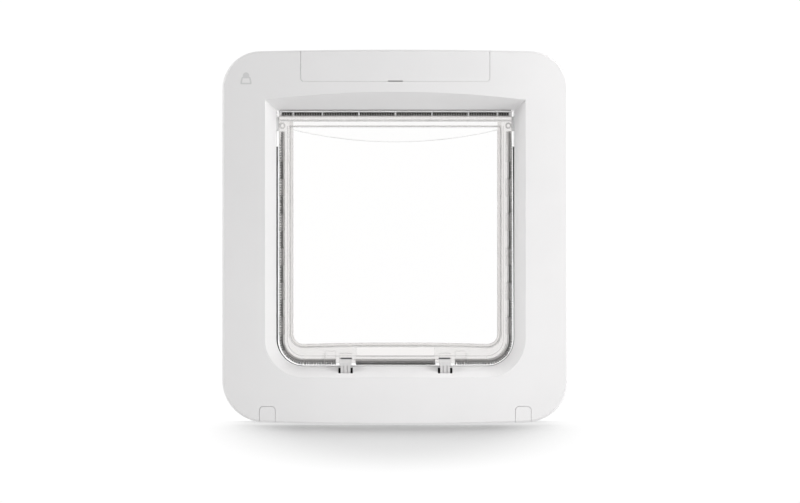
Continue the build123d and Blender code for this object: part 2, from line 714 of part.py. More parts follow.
def make_flap_panel():
    """Clear flap, moulded with its hinge bar, edge channel, strike pads and stub pivots."""
    flap = prism(flap_outline(), FLAP_FRONT, FLAP_BACK)
    flap += rod_x(
        FLAP_FRONT + HINGE_BAR_HEIGHT / 2 - HINGE_BAR_PROUD,
        (HINGE_BAR_BOTTOM + HINGE_BAR_TOP) / 2,
        HINGE_BAR_HEIGHT / 2,
        -FLAP_HALF,
        FLAP_HALF,
    )
    brow = window_pocket((WINDOW_TOP, 0.0), BROW_DEPTH, BROW_DEPTH / 2)
    pane = window_pocket((WINDOW_TOP - BROW_DROP, BROW_SAG), WINDOW_DEPTH, WINDOW_SLOPE)
    pocket = brow + pane
    flap -= pocket
    flap -= mirror(pocket, Plane.XZ.offset(-FLAP_MIDDLE))

    edge = prism(flap_outline() - channel_outline(), CHANNEL_FRONT, CHANNEL_BACK)
    below_hubs = block(-FLAP_HALF, FLAP_HALF, FLAP_FRONT, FLAP_BACK, FLAP_BOTTOM, CHANNEL_TOP)
    flap -= (edge & below_hubs) - strike_zone(0.0, FLAP_FRONT, FLAP_BACK)
    for step in range(TAB_COUNT):
        high = PIVOT_Z - TAB_TOP_DROP - step * TAB_PITCH
        front_cut = block(CHANNEL_HALF, FLAP_HALF, FLAP_FRONT, CHANNEL_FRONT, high - TAB_LENGTH, high)
        back_cut = block(CHANNEL_HALF, FLAP_HALF, CHANNEL_BACK, FLAP_BACK, high, high + TAB_LENGTH)
        flap -= both_sides(front_cut + back_cut)

    channel_end = TOP_PILE_HALF + TOUCH_GAP
    top_channel = block(-channel_end, channel_end, FLAP_FRONT, CHANNEL_BACK, HINGE_BAR_TOP, FLAP_TOP)
    half_rib = TOP_RIB_WIDTH / 2
    for x in (0.0, TOP_RIB_PITCH, 2 * TOP_RIB_PITCH, TOP_RIB_END):
        rib = block(x - half_rib, x + half_rib, FLAP_FRONT, CHANNEL_FRONT, HINGE_BAR_TOP, FLAP_TOP)
        top_channel -= both_sides(rib)
    flap -= top_channel

    rim_half = FLAP_HALF - FLAP_CORNER
    rim_front = FLAP_FRONT + RIM_STEP_DEPTH
    flap -= block(-rim_half, rim_half, FLAP_FRONT, rim_front, FLAP_BOTTOM, FLAP_BOTTOM + RIM_STEP_RISE)
    pad_top = WINDOW_BOTTOM - TOUCH_GAP
    flap += block(
        -PAD_HALF_WIDTH, PAD_HALF_WIDTH, FLAP_FRONT - PAD_PROUD, FLAP_FRONT, pad_top - PAD_HEIGHT, pad_top
    )
    strike_start = LATCH_X - STRIKE_WIDTH / 2
    strike_end = LATCH_X + STRIKE_WIDTH / 2
    strike_high = FLAP_BOTTOM + STRIKE_HEIGHT
    strike = block(strike_start, strike_end, STRIKE_FRONT, rim_front, FLAP_BOTTOM, strike_high)
    finger_start = strike_start - FINGER_WIDTH
    finger_high = FLAP_BOTTOM + FINGER_HEIGHT
    finger = block(finger_start, strike_start, STRIKE_FRONT, rim_front, FLAP_BOTTOM, finger_high)
    rib = block(
        EDGE_RIB_X - EDGE_RIB_WIDTH / 2,
        EDGE_RIB_X + EDGE_RIB_WIDTH / 2,
        FLAP_FRONT - PAD_PROUD,
        rim_front,
        FLAP_BOTTOM,
        FLAP_BOTTOM + EDGE_RIB_HEIGHT,
    )
    lug_end = EDGE_RIB_X - EDGE_RIB_WIDTH
    lug_low = FLAP_BOTTOM + LUG_RISE
    lug_front = FLAP_FRONT - LUG_PROUD
    lug = block(lug_end - LUG_WIDTH, lug_end, lug_front, rim_front, lug_low, lug_low + LUG_HEIGHT)
    flap += both_sides(strike + finger + rib + lug)
    pivot = rod_x(FLAP_MIDDLE, PIVOT_Z, PIVOT_RADIUS, FLAP_HALF, FLAP_HALF + PIVOT_LENGTH)
    hub_x = FLAP_HALF - HUB_EDGE - HUB_RADIUS
    hub = rod_y(hub_x, PIVOT_Z, HUB_RADIUS, FLAP_FRONT - HUB_PROUD, FLAP_FRONT)
    return flap + both_sides(pivot + hub)


def pile_band():
    """Pile strip that fills the flap's edge channel and reaches for the tunnel wall."""
    root = opening_outline(CHANNEL_HALF, FLAP_TOP, CHANNEL_BOTTOM, CHANNEL_CORNER)
    band = prism(
        tunnel_outline(-PILE_WALL_GAP) - root,
        FLAP_MIDDLE - PILE_THICKNESS / 2,
        FLAP_MIDDLE + PILE_THICKNESS / 2,
    )
    low = TUNNEL_BOTTOM
    tip_start = PIVOT_Z - PILE_TIP_DROP
    inside = block(-TUNNEL_HALF, TUNNEL_HALF, FLAP_FRONT, FLAP_BACK, low, tip_start)
    inside += block(
        -FLAP_HALF, FLAP_HALF, FLAP_FRONT, FLAP_BACK, low, CHANNEL_TOP
    )
    return band & inside


def make_pile_side(side):
    """Pile strip of one side and its bottom corner, as far as the latch."""
    reach = LATCH_X + STRIKE_BLOCK_WIDTH / 2 + TOUCH_GAP
    strip = pile_band() & block(reach, TUNNEL_HALF, FLAP_FRONT, FLAP_BACK, TUNNEL_BOTTOM, FLAP_TOP)
    if side < 0:
        strip = mirror(strip, Plane.YZ)
    return strip


def make_pile_bottom():
    """Pile strip of the bottom edge between the latches."""
    reach = LATCH_X - STRIKE_BLOCK_WIDTH / 2 - TOUCH_GAP
    return pile_band() & block(-reach, reach, FLAP_FRONT, FLAP_BACK, TUNNEL_BOTTOM, PIVOT_Z)


def make_pile_top():
    """Pile strip along the top edge."""
    return block(
        -TOP_PILE_HALF,
        TOP_PILE_HALF,
        CHANNEL_FRONT,
        CHANNEL_FRONT + PILE_THICKNESS,
        HINGE_BAR_TOP,
        FLAP_TOP,
    )


def rack_outline():
    """Side view of the rack: a back strip with straight-flanked teeth facing the pinion."""
    tangent = math.tan(math.radians(PRESSURE_ANGLE))
    pitch = math.pi * MODULE
    tip = RACK_PITCH_Y + MODULE
    foot = RACK_PITCH_Y - TOOTH_FOOT * MODULE
    half = pitch / 4 - TOOTH_PLAY / 4
    high = BAR_TOP + RACK_TOP_RISE
    low = rack_low()
    outline = make_face(
        Polyline([(LATCH_FRONT, BAR_BOTTOM), (foot, high), (foot, low), (LATCH_FRONT, low)], close=True)
    )
    strip = Rectangle(foot - LATCH_FRONT, BAR_TOP - low)
    outline += Pos((LATCH_FRONT + foot) / 2, (low + BAR_TOP) / 2) * strip
    reach = math.floor((high - PINION_Z) / pitch)
    for step in range(-reach, reach + 1):
        middle = PINION_Z + (step + 0.5) * pitch
        if low + pitch / 2 < middle < high - pitch / 2:
            tooth = Polyline(
                [
                    (foot, middle - half - TOOTH_FOOT * MODULE * tangent),
                    (tip, middle - half + MODULE * tangent),
                    (tip, middle + half - MODULE * tangent),
                    (foot, middle + half + TOOTH_FOOT * MODULE * tangent),
                ],
                close=True,
            )
            outline += make_face(tooth)
    return outline


def rack_low():
    """Lower end of the rack, just below the pinion's reach at rest."""
    return PINION_Z - PINION_PITCH


def make_lock_bar():
    """Lock bar: two latch tabs and a rack, moulded on one sliding bar."""
    bar = block(-BAR_HALF, BAR_HALF, LATCH_FRONT, LATCH_BACK, BAR_BOTTOM, BAR_TOP)
    profile = make_face(
        Polyline(
            [
                (LATCH_FRONT, BAR_BOTTOM),
                (LATCH_BACK, BAR_BOTTOM),
                (LATCH_BACK, LATCH_TOP),
                (LATCH_FRONT + LATCH_BEVEL, LATCH_TOP),
                (LATCH_FRONT, LATCH_TOP - 2 * LATCH_BEVEL),
            ],
            close=True,
        )
    )
    tab = side_prism(profile, LATCH_X - LATCH_WIDTH / 2, LATCH_X + LATCH_WIDTH / 2)
    head = side_prism(profile, LATCH_X - LATCH_HEAD_WIDTH / 2, LATCH_X + LATCH_HEAD_WIDTH / 2)
    head_low = LATCH_TOP - LATCH_HEAD_HEIGHT
    tab += head & block(0, BAR_HALF, LATCH_FRONT, LATCH_BACK, head_low, LATCH_TOP)
    for place in (-LATCH_WIDTH / 5, LATCH_WIDTH / 5):
        x = LATCH_X + place
        tab -= block(
            x - LATCH_GROOVE / 2,
            x + LATCH_GROOVE / 2,
            LATCH_FRONT,
            LATCH_FRONT + LATCH_GROOVE,
            BAR_TOP,
            head_low,
        )
    bar += both_sides(tab)
    rack_half = RACK_WIDTH / 2
    bar -= block(-rack_half, rack_half, RACK_PITCH_Y - TOOTH_FOOT * MODULE, LATCH_BACK, BAR_BOTTOM, BAR_TOP)
    return bar + side_prism(rack_outline(), -rack_half, rack_half)


def involute(angle):
    """Involute function of a pressure angle in radians."""
    return math.tan(angle) - angle


def pinion_outline():
    """Side view of the pinion, with involute teeth moved out a little so that they aren't undercut."""
    pressure = math.radians(PRESSURE_ANGLE)
    base = PINION_PITCH * math.cos(pressure)
    root = PINION_PITCH - MODULE * (TOOTH_FOOT - PINION_SHIFT)
    tip = PINION_PITCH + MODULE * (1 + PINION_SHIFT) - TOOTH_PLAY / 2
    thickness = MODULE * (math.pi / 2 + 2 * PINION_SHIFT * math.tan(pressure)) - TOOTH_PLAY / 2
    half_at_pitch = thickness / 2 / PINION_PITCH

    def flank(radius):
        slope = math.acos(min(1.0, base / radius))
        return half_at_pitch + involute(pressure) - involute(slope)

    radii = [base, (base + tip) / 2, tip]
    half_tooth = [(root, flank(base))] + [(radius, flank(radius)) for radius in radii]
    points = []
    for tooth in range(PINION_TEETH):
        middle = math.pi + 2 * math.pi * tooth / PINION_TEETH
        for radius, angle in half_tooth:
            points.append((radius * math.cos(middle - angle), radius * math.sin(middle - angle)))
        for radius, angle in reversed(half_tooth):
            points.append((radius * math.cos(middle + angle), radius * math.sin(middle + angle)))
    return Pos(PINION_Y, PINION_Z) * make_face(Polyline(points, close=True))


def make_lock_pinion():
    """Pinion that drives the rack."""
    pinion = side_prism(pinion_outline(), -PINION_WIDTH / 2, PINION_WIDTH / 2)
    return pinion - rod_x(PINION_Y, PINION_Z, SHAFT_RADIUS, -PINION_WIDTH / 2, PINION_WIDTH / 2)


def make_pinion_shaft():
    """Output shaft of the gear motor, which carries the pinion."""
    stub_end = -PINION_WIDTH / 2 - SHAFT_STUB
    return rod_x(PINION_Y, PINION_Z, SHAFT_RADIUS, stub_end, MOTOR_START + SHAFT_SOCKET)


def make_lock_motor():
    """Small gear motor: a square gearbox and a can with bevelled edges."""
    gearbox_end = MOTOR_START + GEARBOX_LENGTH
    half_depth = MOTOR_DEPTH / 2
    half_height = MOTOR_HEIGHT / 2
    gearbox = block(
        MOTOR_START,
        gearbox_end,
        PINION_Y - half_depth,
        PINION_Y + half_depth,
        PINION_Z - half_height,
        PINION_Z + half_height,
    )
    can = chamfer(Rectangle(MOTOR_DEPTH, MOTOR_HEIGHT).vertices(), MOTOR_BEVEL)
    motor = gearbox + side_prism(Pos(PINION_Y, PINION_Z) * can, gearbox_end, MOTOR_END)
    socket_end = MOTOR_START + SHAFT_SOCKET + FIT_GAP
    return motor - rod_x(PINION_Y, PINION_Z, SHAFT_RADIUS + PIVOT_GAP, MOTOR_START, socket_end)


def make_lock_housing():
    """Moulded carrier of the lock: a plate with the motor's cradle and the bar's two guides."""
    outer = BAR_HALF + FIT_GAP + GUIDE_WALL
    guide_top = BAR_TOP + FIT_GAP
    plate_low = GUIDE_LOW - HOUSING_EDGE
    housing = block(-outer, outer, HOUSING_FRONT, PLATE_FRONT, plate_low, guide_top)
    guide_front = LATCH_FRONT - FIT_GAP - GUIDE_WALL
    lip_back = LATCH_BACK + FIT_GAP + GUIDE_WALL
    guide = block(outer - GUIDE_WALL, outer, guide_front, HOUSING_FRONT, GUIDE_LOW, guide_top)
    lip_start = outer - GUIDE_WALL - GUIDE_LIP
    guide += block(lip_start, outer, guide_front, guide_front + GUIDE_WALL, GUIDE_LOW, guide_top)
    guide += block(lip_start, outer, lip_back - GUIDE_WALL, lip_back, GUIDE_LOW, guide_top)
    housing += both_sides(guide)
    motor_back = PINION_Y + MOTOR_DEPTH / 2 + TOUCH_GAP
    half_height = MOTOR_HEIGHT / 2 + TOUCH_GAP
    grip_front = PINION_Y + MOTOR_DEPTH / 2 - CRADLE_GRIP
    cradle = block(
        MOTOR_START,
        MOTOR_END,
        grip_front,
        HOUSING_FRONT,
        PINION_Z - half_height - CRADLE_WALL,
        PINION_Z + half_height + CRADLE_WALL,
    )
    cradle -= block(
        MOTOR_START, MOTOR_END, grip_front, motor_back, PINION_Z - half_height, PINION_Z + half_height
    )
    core_half = half_height - CRADLE_WALL
    core_start = MOTOR_START + CRADLE_WALL
    core_end = MOTOR_END - CRADLE_WALL
    cradle -= block(
        core_start, core_end, motor_back, HOUSING_FRONT, PINION_Z - core_half, PINION_Z + core_half
    )
    housing += cradle
    for x, z in housing_peg_places():
        housing -= square_post(x, z, HOUSING_PEG / 2 + TOUCH_GAP, HOUSING_FRONT, PLATE_FRONT)
    return housing


def housing_peg_places():
    """Front-view places of the chassis pegs that the lock housing is staked on."""
    middle = (GUIDE_LOW - HOUSING_EDGE + BAR_TOP) / 2
    return [(-HOUSING_PEG_X, middle), (HOUSING_PEG_X, middle)]


def make_battery_box():
    """Open tray for the cells, moulded with the learn button's guide plate."""
    box = block(-BOX_HALF, BOX_HALF, BOX_FRONT, PLATE_FRONT, BOX_BOTTOM, BOX_TOP)
    inside = BOX_HALF - BOX_WALL
    box -= block(-inside, inside, BOX_FRONT, BOX_BACK, BOX_FLOOR_TOP, BOX_TOP)
    rib_y = (REAR_CELL_Y + FRONT_CELL_Y) / 2
    box += block(
        -inside, inside, rib_y - BOX_RIB / 2, rib_y + BOX_RIB / 2, BOX_FLOOR_TOP, BOX_FLOOR_TOP + BOX_RIB
    )
    guide_front = button_plate_front()
    guide_end = guide_front + BUTTON_PLATE
    guide_reach = BUTTON_HALF + BUTTON_RIM + BUTTON_FLANGE
    box += block(
        BUTTON_X - guide_reach, -BOX_HALF, guide_front, guide_end, BOX_BOTTOM, BUTTON_Z + guide_reach
    )
    return box - square_post(BUTTON_X, BUTTON_Z, BUTTON_HALF + TOUCH_GAP, guide_front, guide_end)


def button_plate_front():
    """Depth of the button's guide plate, in front of the switch, the button's flange and its travel."""
    switch_front = BOARD_FRONT - SWITCH_HEIGHT
    return switch_front - BUTTON_TRAVEL - FIT_GAP - BUTTON_FLANGE - BUTTON_PLATE - TOUCH_GAP


def make_battery_cells():
    """Four cells with their nubs, in two rows along the box."""
    start = -CELL_LENGTH - CELL_NUB_LENGTH
    cells = []
    for row_y in (REAR_CELL_Y, FRONT_CELL_Y):
        cell = rod_x(row_y, CELL_AXIS_Z, CELL_DIAMETER / 2, start, start + CELL_LENGTH)
        cell += rod_x(row_y, CELL_AXIS_Z, CELL_NUB_RADIUS, start + CELL_LENGTH, 0.0)
        cells.append(cell)
        cells.append(Pos(-start, 0, 0) * cell)
    return Compound(cells)


def make_battery_contacts():
    """Sprung metal contacts at both ends of the two rows of cells."""
    wall = BOX_HALF - BOX_WALL
    high = CELL_AXIS_Z + CONTACT_WIDTH / 2
    low = CELL_AXIS_Z - CONTACT_WIDTH / 2
    contacts = []
    for side in (-1, 1):
        cell_end = CELL_LENGTH + CELL_NUB_LENGTH
        leaf = Polyline([(wall, high), (wall, low), (cell_end + CONTACT_SHEET, CELL_AXIS_Z)], close=True)
        inner_leaf = offset(make_face(leaf), -CONTACT_SHEET)
        for row_y in (REAR_CELL_Y, FRONT_CELL_Y):
            half = CONTACT_WIDTH / 2
            spring = prism(make_face(leaf) - inner_leaf, row_y - half, row_y + half)
            if side < 0:
                spring = mirror(spring, Plane.YZ)
            contacts.append(spring)
    return Compound(contacts)


def make_control_board():
    """Circuit board on its standoffs, with a step round the fixing screw's post."""
    inner = -BOX_HALF - TOUCH_GAP
    board = block(-BOARD_OUTER_X, inner, BOARD_FRONT, BOARD_BACK, BOARD_LOW, BOARD_HIGH)
    post_room = SCREW_POST_HALF + FIT_GAP
    board -= block(
        -UPPER_SCREW_X - post_room, inner, BOARD_FRONT, BOARD_BACK, UPPER_SCREW_Z - post_room, BOARD_HIGH
    )
    return board


def make_board_components():
    """The larger parts soldered to the board."""
    middle_x = -(BOARD_OUTER_X + COVER_HALF) / 2
    middle_z = (BOARD_LOW + BOARD_HIGH) / 2
    half = PROCESSOR_SIZE / 2
    beside = middle_x + half + COMPONENT_GAP
    processor = block(
        middle_x - half,
        middle_x + half,
        BOARD_FRONT - PROCESSOR_HEIGHT,
        BOARD_FRONT,
        middle_z - half,
        middle_z + half,
    )
    radio = block(
        beside,
        beside + RADIO_SIZE,
        BOARD_FRONT - RADIO_HEIGHT,
        BOARD_FRONT,
        middle_z - COMPONENT_GAP - RADIO_SIZE,
        middle_z - COMPONENT_GAP,
    )
    connector = block(
        middle_x - CONNECTOR_LENGTH / 2,
        middle_x + CONNECTOR_LENGTH / 2,
        BOARD_FRONT - CONNECTOR_HEIGHT,
        BOARD_FRONT,
        BOARD_LOW + TOUCH_GAP,
        BOARD_LOW + TOUCH_GAP + CONNECTOR_WIDTH,
    )
    choke = block(
        beside,
        beside + CHOKE_SIZE,
        BOARD_FRONT - CHOKE_HEIGHT,
        BOARD_FRONT,
        middle_z + TOUCH_GAP,
        middle_z + TOUCH_GAP + CHOKE_SIZE,
    )
    return Compound([processor, radio, connector, choke])


def make_learn_switch():
    """Push switch on the board under the learn button."""
    half = SWITCH_SIZE / 2
    return block(
        BUTTON_X - half,
        BUTTON_X + half,
        BOARD_FRONT - SWITCH_HEIGHT,
        BOARD_FRONT,
        BUTTON_Z - half,
        BUTTON_Z + half,
    )


def make_learn_button():
    """Button that is pressed to teach the flap a pet, with a flange behind its guide plate."""
    flange_front = button_plate_front() + BUTTON_PLATE + TOUCH_GAP
    flange_end = flange_front + BUTTON_FLANGE
    button = square_post(BUTTON_X, BUTTON_Z, BUTTON_HALF, flange_front - BUTTON_LENGTH, flange_front)
    button = chamfer(button.faces().sort_by(Axis.Y)[0].edges(), BUTTON_BEVEL)
    return button + square_post(BUTTON_X, BUTTON_Z, BUTTON_HALF + BUTTON_RIM, flange_front, flange_end)


def make_status_lamp():
    """Lamp on the board behind the lock sign."""
    lamp_front = BOARD_FRONT - LAMP_LENGTH
    half_width = LAMP_WIDTH / 2
    half_height = LAMP_HEIGHT / 2
    return block(
        LAMP_X - half_width,
        LAMP_X + half_width,
        lamp_front,
        BOARD_FRONT,
        LAMP_Z - half_height,
        LAMP_Z + half_height,
    )


def make_light_pipe():
    """Clear square rod that carries the lamp's light to the front wall."""
    return square_post(LAMP_X, LAMP_Z, PIPE_HALF, INNER_WALL, BOARD_FRONT - LAMP_LENGTH - TOUCH_GAP)


def build_nodes():
    """Every piece by its name."""
    return {
        "interior_bezel": make_interior_bezel(),
        "chassis": make_chassis(),
        "pivot_bushes": make_pivot_bushes(),
        "antenna_coil": make_antenna_coil(),
        "coil_sleeve": make_coil_sleeve(),
        "exterior_frame": make_exterior_frame(),
        "fixing_screws": make_fixing_screws(),
        "screw_cover_left": make_screw_cover(-1),
        "screw_cover_right": make_screw_cover(1),
        "lock_housing": make_lock_housing(),
        "lock_motor": make_lock_motor(),
        "battery_box": make_battery_box(),
        "battery_cells": make_battery_cells(),
        "battery_contacts": make_battery_contacts(),
        "control_board": make_control_board(),
        "board_components": make_board_components(),
        "learn_switch": make_learn_switch(),
        "status_lamp": make_status_lamp(),
        "light_pipe": make_light_pipe(),
        "flap_panel": make_flap_panel(),
        "pile_top": make_pile_top(),
        "pile_left": make_pile_side(-1),
        "pile_right": make_pile_side(1),
        "pile_bottom": make_pile_bottom(),
        "lock_bar": make_lock_bar(),
        "lock_pinion": make_lock_pinion(),
        "pinion_shaft": make_pinion_shaft(),
        "battery_cover": make_battery_cover(),
        "learn_button": make_learn_button(),
    }


os.makedirs("parts", exist_ok=True)
for name, solid in build_nodes().items():
    export_step(solid, f"parts/{name}.step")
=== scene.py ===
import math
import random

import bmesh
import bpy
from mathutils import Matrix, Vector


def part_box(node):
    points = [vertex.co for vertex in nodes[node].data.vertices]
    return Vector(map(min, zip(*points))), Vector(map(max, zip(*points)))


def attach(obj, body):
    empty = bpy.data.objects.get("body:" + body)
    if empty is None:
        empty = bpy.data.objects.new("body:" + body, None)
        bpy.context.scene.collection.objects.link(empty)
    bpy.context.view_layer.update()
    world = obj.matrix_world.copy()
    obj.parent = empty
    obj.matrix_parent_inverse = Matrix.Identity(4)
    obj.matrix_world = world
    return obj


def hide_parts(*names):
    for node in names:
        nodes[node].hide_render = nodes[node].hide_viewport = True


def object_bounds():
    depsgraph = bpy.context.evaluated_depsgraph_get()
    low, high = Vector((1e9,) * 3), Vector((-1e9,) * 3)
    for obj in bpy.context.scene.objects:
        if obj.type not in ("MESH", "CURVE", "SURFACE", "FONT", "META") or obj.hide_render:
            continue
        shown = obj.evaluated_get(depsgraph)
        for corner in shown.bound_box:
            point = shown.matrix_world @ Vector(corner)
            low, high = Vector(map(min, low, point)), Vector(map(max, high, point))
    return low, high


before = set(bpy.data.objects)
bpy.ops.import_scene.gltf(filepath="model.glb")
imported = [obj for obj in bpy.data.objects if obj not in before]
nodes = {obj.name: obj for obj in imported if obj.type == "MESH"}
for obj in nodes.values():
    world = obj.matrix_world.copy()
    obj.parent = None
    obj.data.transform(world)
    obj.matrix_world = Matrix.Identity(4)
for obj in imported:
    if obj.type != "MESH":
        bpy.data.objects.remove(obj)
cad_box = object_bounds()
bpy.context.scene.view_settings.view_transform = "Standard"


# Chassis: the back plate of the room-side frame, moulded in one with the tunnel and the coil's bobbin.
# White ABS from a spark-eroded mould, so a fine even grain breaks its gloss and each edge is a little round.
# It snaps into the frame from behind, and all that works inside hangs on it.
class Wire:
    """A socket in a material's node tree: sums on it add Math nodes, and node() adds any other node."""

    def __init__(self, tree, socket=None):
        self.tree = tree
        self.socket = socket

    def node(self, kind, settings=None, sockets=None, output=0):
        made = self.tree.nodes.new("ShaderNode" + kind)
        for name, value in (settings or {}).items():
            setattr(made, name, value)
        for name, value in (sockets or {}).items():
            if isinstance(value, Wire):
                self.tree.links.new(value.socket, made.inputs[name])
            else:
                made.inputs[name].default_value = value
        return Wire(self.tree, made.outputs[output] if made.outputs else None)

    def math(self, operation, *values):
        return self.node("Math", {"operation": operation}, dict(enumerate(values)))

    def blend(self, low, high):
        """Colour between two colours, by this value."""
        return self.node("Mix", {"data_type": "RGBA"}, {0: self, 6: low, 7: high}, 2)

    def step(self, start, end):
        """Smooth rise from 0 at start to 1 at end."""
        reach = {"Value": self, "From Min": start, "From Max": end}
        return self.node("MapRange", {"interpolation_type": "SMOOTHSTEP"}, reach)

    def __add__(self, other):
        return self.math("ADD", self, other)

    def __sub__(self, other):
        return self.math("SUBTRACT", self, other)

    def __mul__(self, other):
        return self.math("MULTIPLY", self, other)

    def __rsub__(self, other):
        return self.math("SUBTRACT", other, self)

    __radd__ = __add__
    __rmul__ = __mul__


def new_finish(name):
    """An empty material and the wire that its nodes are added from."""
    material = bpy.data.materials.new(name)
    material.use_nodes = True
    material.node_tree.nodes.clear()
    return material, Wire(material.node_tree)


def noise(wire, scale, detail=2.0):
    """Noise over the piece's own coordinates, in patterns per metre."""
    place = wire.node("TexCoord", output="Object")
    return wire.node("TexNoise", sockets={"Vector": place, "Scale": scale, "Detail": detail})


def dress(finish, *names):
    """Gives the named nodes of the frame a finish."""
    for name in names:
        nodes[name].data.materials.clear()
        nodes[name].data.materials.append(finish)


def end_finish(wire, surface):
    """Ends a finish in one plain surface, from the values and links of its sockets."""
    wire.node("OutputMaterial", sockets={"Surface": wire.node("BsdfPrincipled", sockets=surface)})


CLOUD_SCALE = 30.0
CLOUD_DULL = 0.97
CLOUD_CLEAR = 1.015
CLOUD_GLOSS = 0.06
GRAIN_SCALE = 2600.0
GRAIN_DEPTH = 0.00004
GRAIN_GLOSS = 0.04
EDGE_SAMPLES = 6


def moulded_plastic(name, colour, roughness, edge, grain=0.3):
    """Moulded plastic: the mould's grain, a faintly uneven colour and gloss, and rounded edges."""
    material, wire = new_finish(name)
    cloud = noise(wire, CLOUD_SCALE)
    speck = noise(wire, GRAIN_SCALE, 1.0)
    dull = tuple(CLOUD_DULL * part for part in colour) + (1.0,)
    clear = tuple(min(1.0, CLOUD_CLEAR * part) for part in colour) + (1.0,)
    rounded = wire.node("Bevel", {"samples": EDGE_SAMPLES}, {"Radius": edge})
    grained = {"Strength": grain, "Distance": GRAIN_DEPTH, "Height": speck, "Normal": rounded}
    smoothest = roughness - (CLOUD_GLOSS + GRAIN_GLOSS) / 2
    surface = {
        "Base Color": cloud.blend(dull, clear),
        "Roughness": smoothest + CLOUD_GLOSS * cloud + GRAIN_GLOSS * speck,
        "Normal": wire.node("Bump", sockets=grained),
    }
    end_finish(wire, surface)
    return material


CASE_WHITE = (0.86, 0.853, 0.854)
white_case = moulded_plastic("white_case", CASE_WHITE, roughness=0.46, edge=0.0003)
dress(white_case, "chassis")

# Pivot bushes: two bearing blocks pressed into the tunnel walls, one for each stub pivot of the flap.
# Moulded in acetal, a greyer and waxier white than the case.
BUSH_GREY = (0.80, 0.80, 0.80)
dress(moulded_plastic("bush_plastic", BUSH_GREY, roughness=0.34, edge=0.0006, grain=0.1), "pivot_bushes")


# Aerial coil and its sleeve: enamelled copper wire wound on the bobbin round the tunnel.
# It reads a pet's chip. The turns lie side by side in layers, and a white sleeve snaps over them.
def own_place(wire, axis):
    """Distance along an axis of the piece's own coordinates."""
    place = wire.node("TexCoord", output="Object")
    return wire.node("SeparateXYZ", sockets={0: place}, output=axis)


WIRE_PITCH = 0.0005
COPPER_LIGHT = (0.72, 0.36, 0.17, 1.0)
COPPER_GROOVE_SHADE = (0.42, 0.17, 0.07, 1.0)
copper_wire, wire = new_finish("copper_wire")
# Painted shade: the colour darkens from the crest of each turn into the groove between turns.
turn = wire.math("ABSOLUTE", wire.math("SINE", own_place(wire, "Y") * (math.pi / WIRE_PITCH)))
surface = {
    "Base Color": turn.blend(COPPER_GROOVE_SHADE, COPPER_LIGHT),
    "Metallic": 0.9,
    "Roughness": 0.42 - 0.12 * turn,
    "Normal": wire.node("Bump", sockets={"Strength": 0.8, "Distance": WIRE_PITCH / 2, "Height": turn}),
}
end_finish(wire, surface)
dress(copper_wire, "antenna_coil")
dress(white_case, "coil_sleeve")

# Lock housing: the carrier that is staked to the chassis and guides the lock bar.
# It is moulded in dark acetal, which the bar slides on without grease.
HOUSING_DARK = (0.06, 0.06, 0.063)
dress(moulded_plastic("housing_plastic", HOUSING_DARK, roughness=0.4, edge=0.0005), "lock_housing")

# Gear motor and its shaft: a plated steel can with fine draw marks round it, and a ground steel shaft.
# The can sits in the housing's cradle, and the shaft carries the pinion.
CAN_LIGHT = (0.62, 0.62, 0.6, 1.0)
CAN_DARK = (0.48, 0.48, 0.47, 1.0)
CAN_MARKS = (4000.0, 300.0, 300.0)
SHAFT_MARKS = (6000.0, 200.0, 200.0)
MARK_DEPTH = 0.00002
MARK_GLOSS = 0.16


def plated_steel(name, light, dark, marks_per_metre, roughness):
    """Plated steel with fine marks that are drawn out where there are few to a metre."""
    material, wire = new_finish(name)
    place = wire.node("TexCoord", output="Object")
    drawn = wire.node("Mapping", sockets={"Vector": place, "Scale": marks_per_metre})
    marks = wire.node("TexNoise", sockets={"Vector": drawn, "Scale": 1.0, "Detail": 3.0})
    surface = {
        "Base Color": marks.blend(dark, light),
        "Metallic": 1.0,
        "Roughness": roughness - MARK_GLOSS / 2 + MARK_GLOSS * marks,
        "Normal": wire.node("Bump", sockets={"Strength": 0.1, "Distance": MARK_DEPTH, "Height": marks}),
    }
    end_finish(wire, surface)
    return material


motor_can = plated_steel("motor_can", CAN_LIGHT, CAN_DARK, CAN_MARKS, roughness=0.34)
dress(motor_can, "lock_motor")
shaft_steel = plated_steel("shaft_steel", CAN_LIGHT, CAN_DARK, SHAFT_MARKS, roughness=0.22)
dress(shaft_steel, "pinion_shaft")

# Pinion: the small gear that drives the lock bar's rack.
# Moulded in acetal of its natural cream colour and pressed on the shaft.
GEAR_CREAM = (0.80, 0.77, 0.69)
dress(moulded_plastic("gear_plastic", GEAR_CREAM, roughness=0.33, edge=0.0002, grain=0.1), "lock_pinion")

# Lock bar: the sliding bar with its rack and the two latch tabs that stand up in front of the flap.
# Moulded in a natural white acetal, smoother and a little glossier than the case; its colour is set a greyer
# white than that, as painted shade.
LATCH_SHADED_WHITE = (0.68, 0.67, 0.67)
dress(moulded_plastic("latch_plastic", LATCH_SHADED_WHITE, roughness=0.3, edge=0.0004, grain=0.1), "lock_bar")

# Battery box: the open tray for the cells, set in the frame's top band behind the battery cover.
# Moulded in pale grey ABS, in one with the learn button's guide plate.
BOX_GREY = (0.62, 0.62, 0.615)
dress(moulded_plastic("inner_plastic", BOX_GREY, roughness=0.42, edge=0.0005), "battery_box")

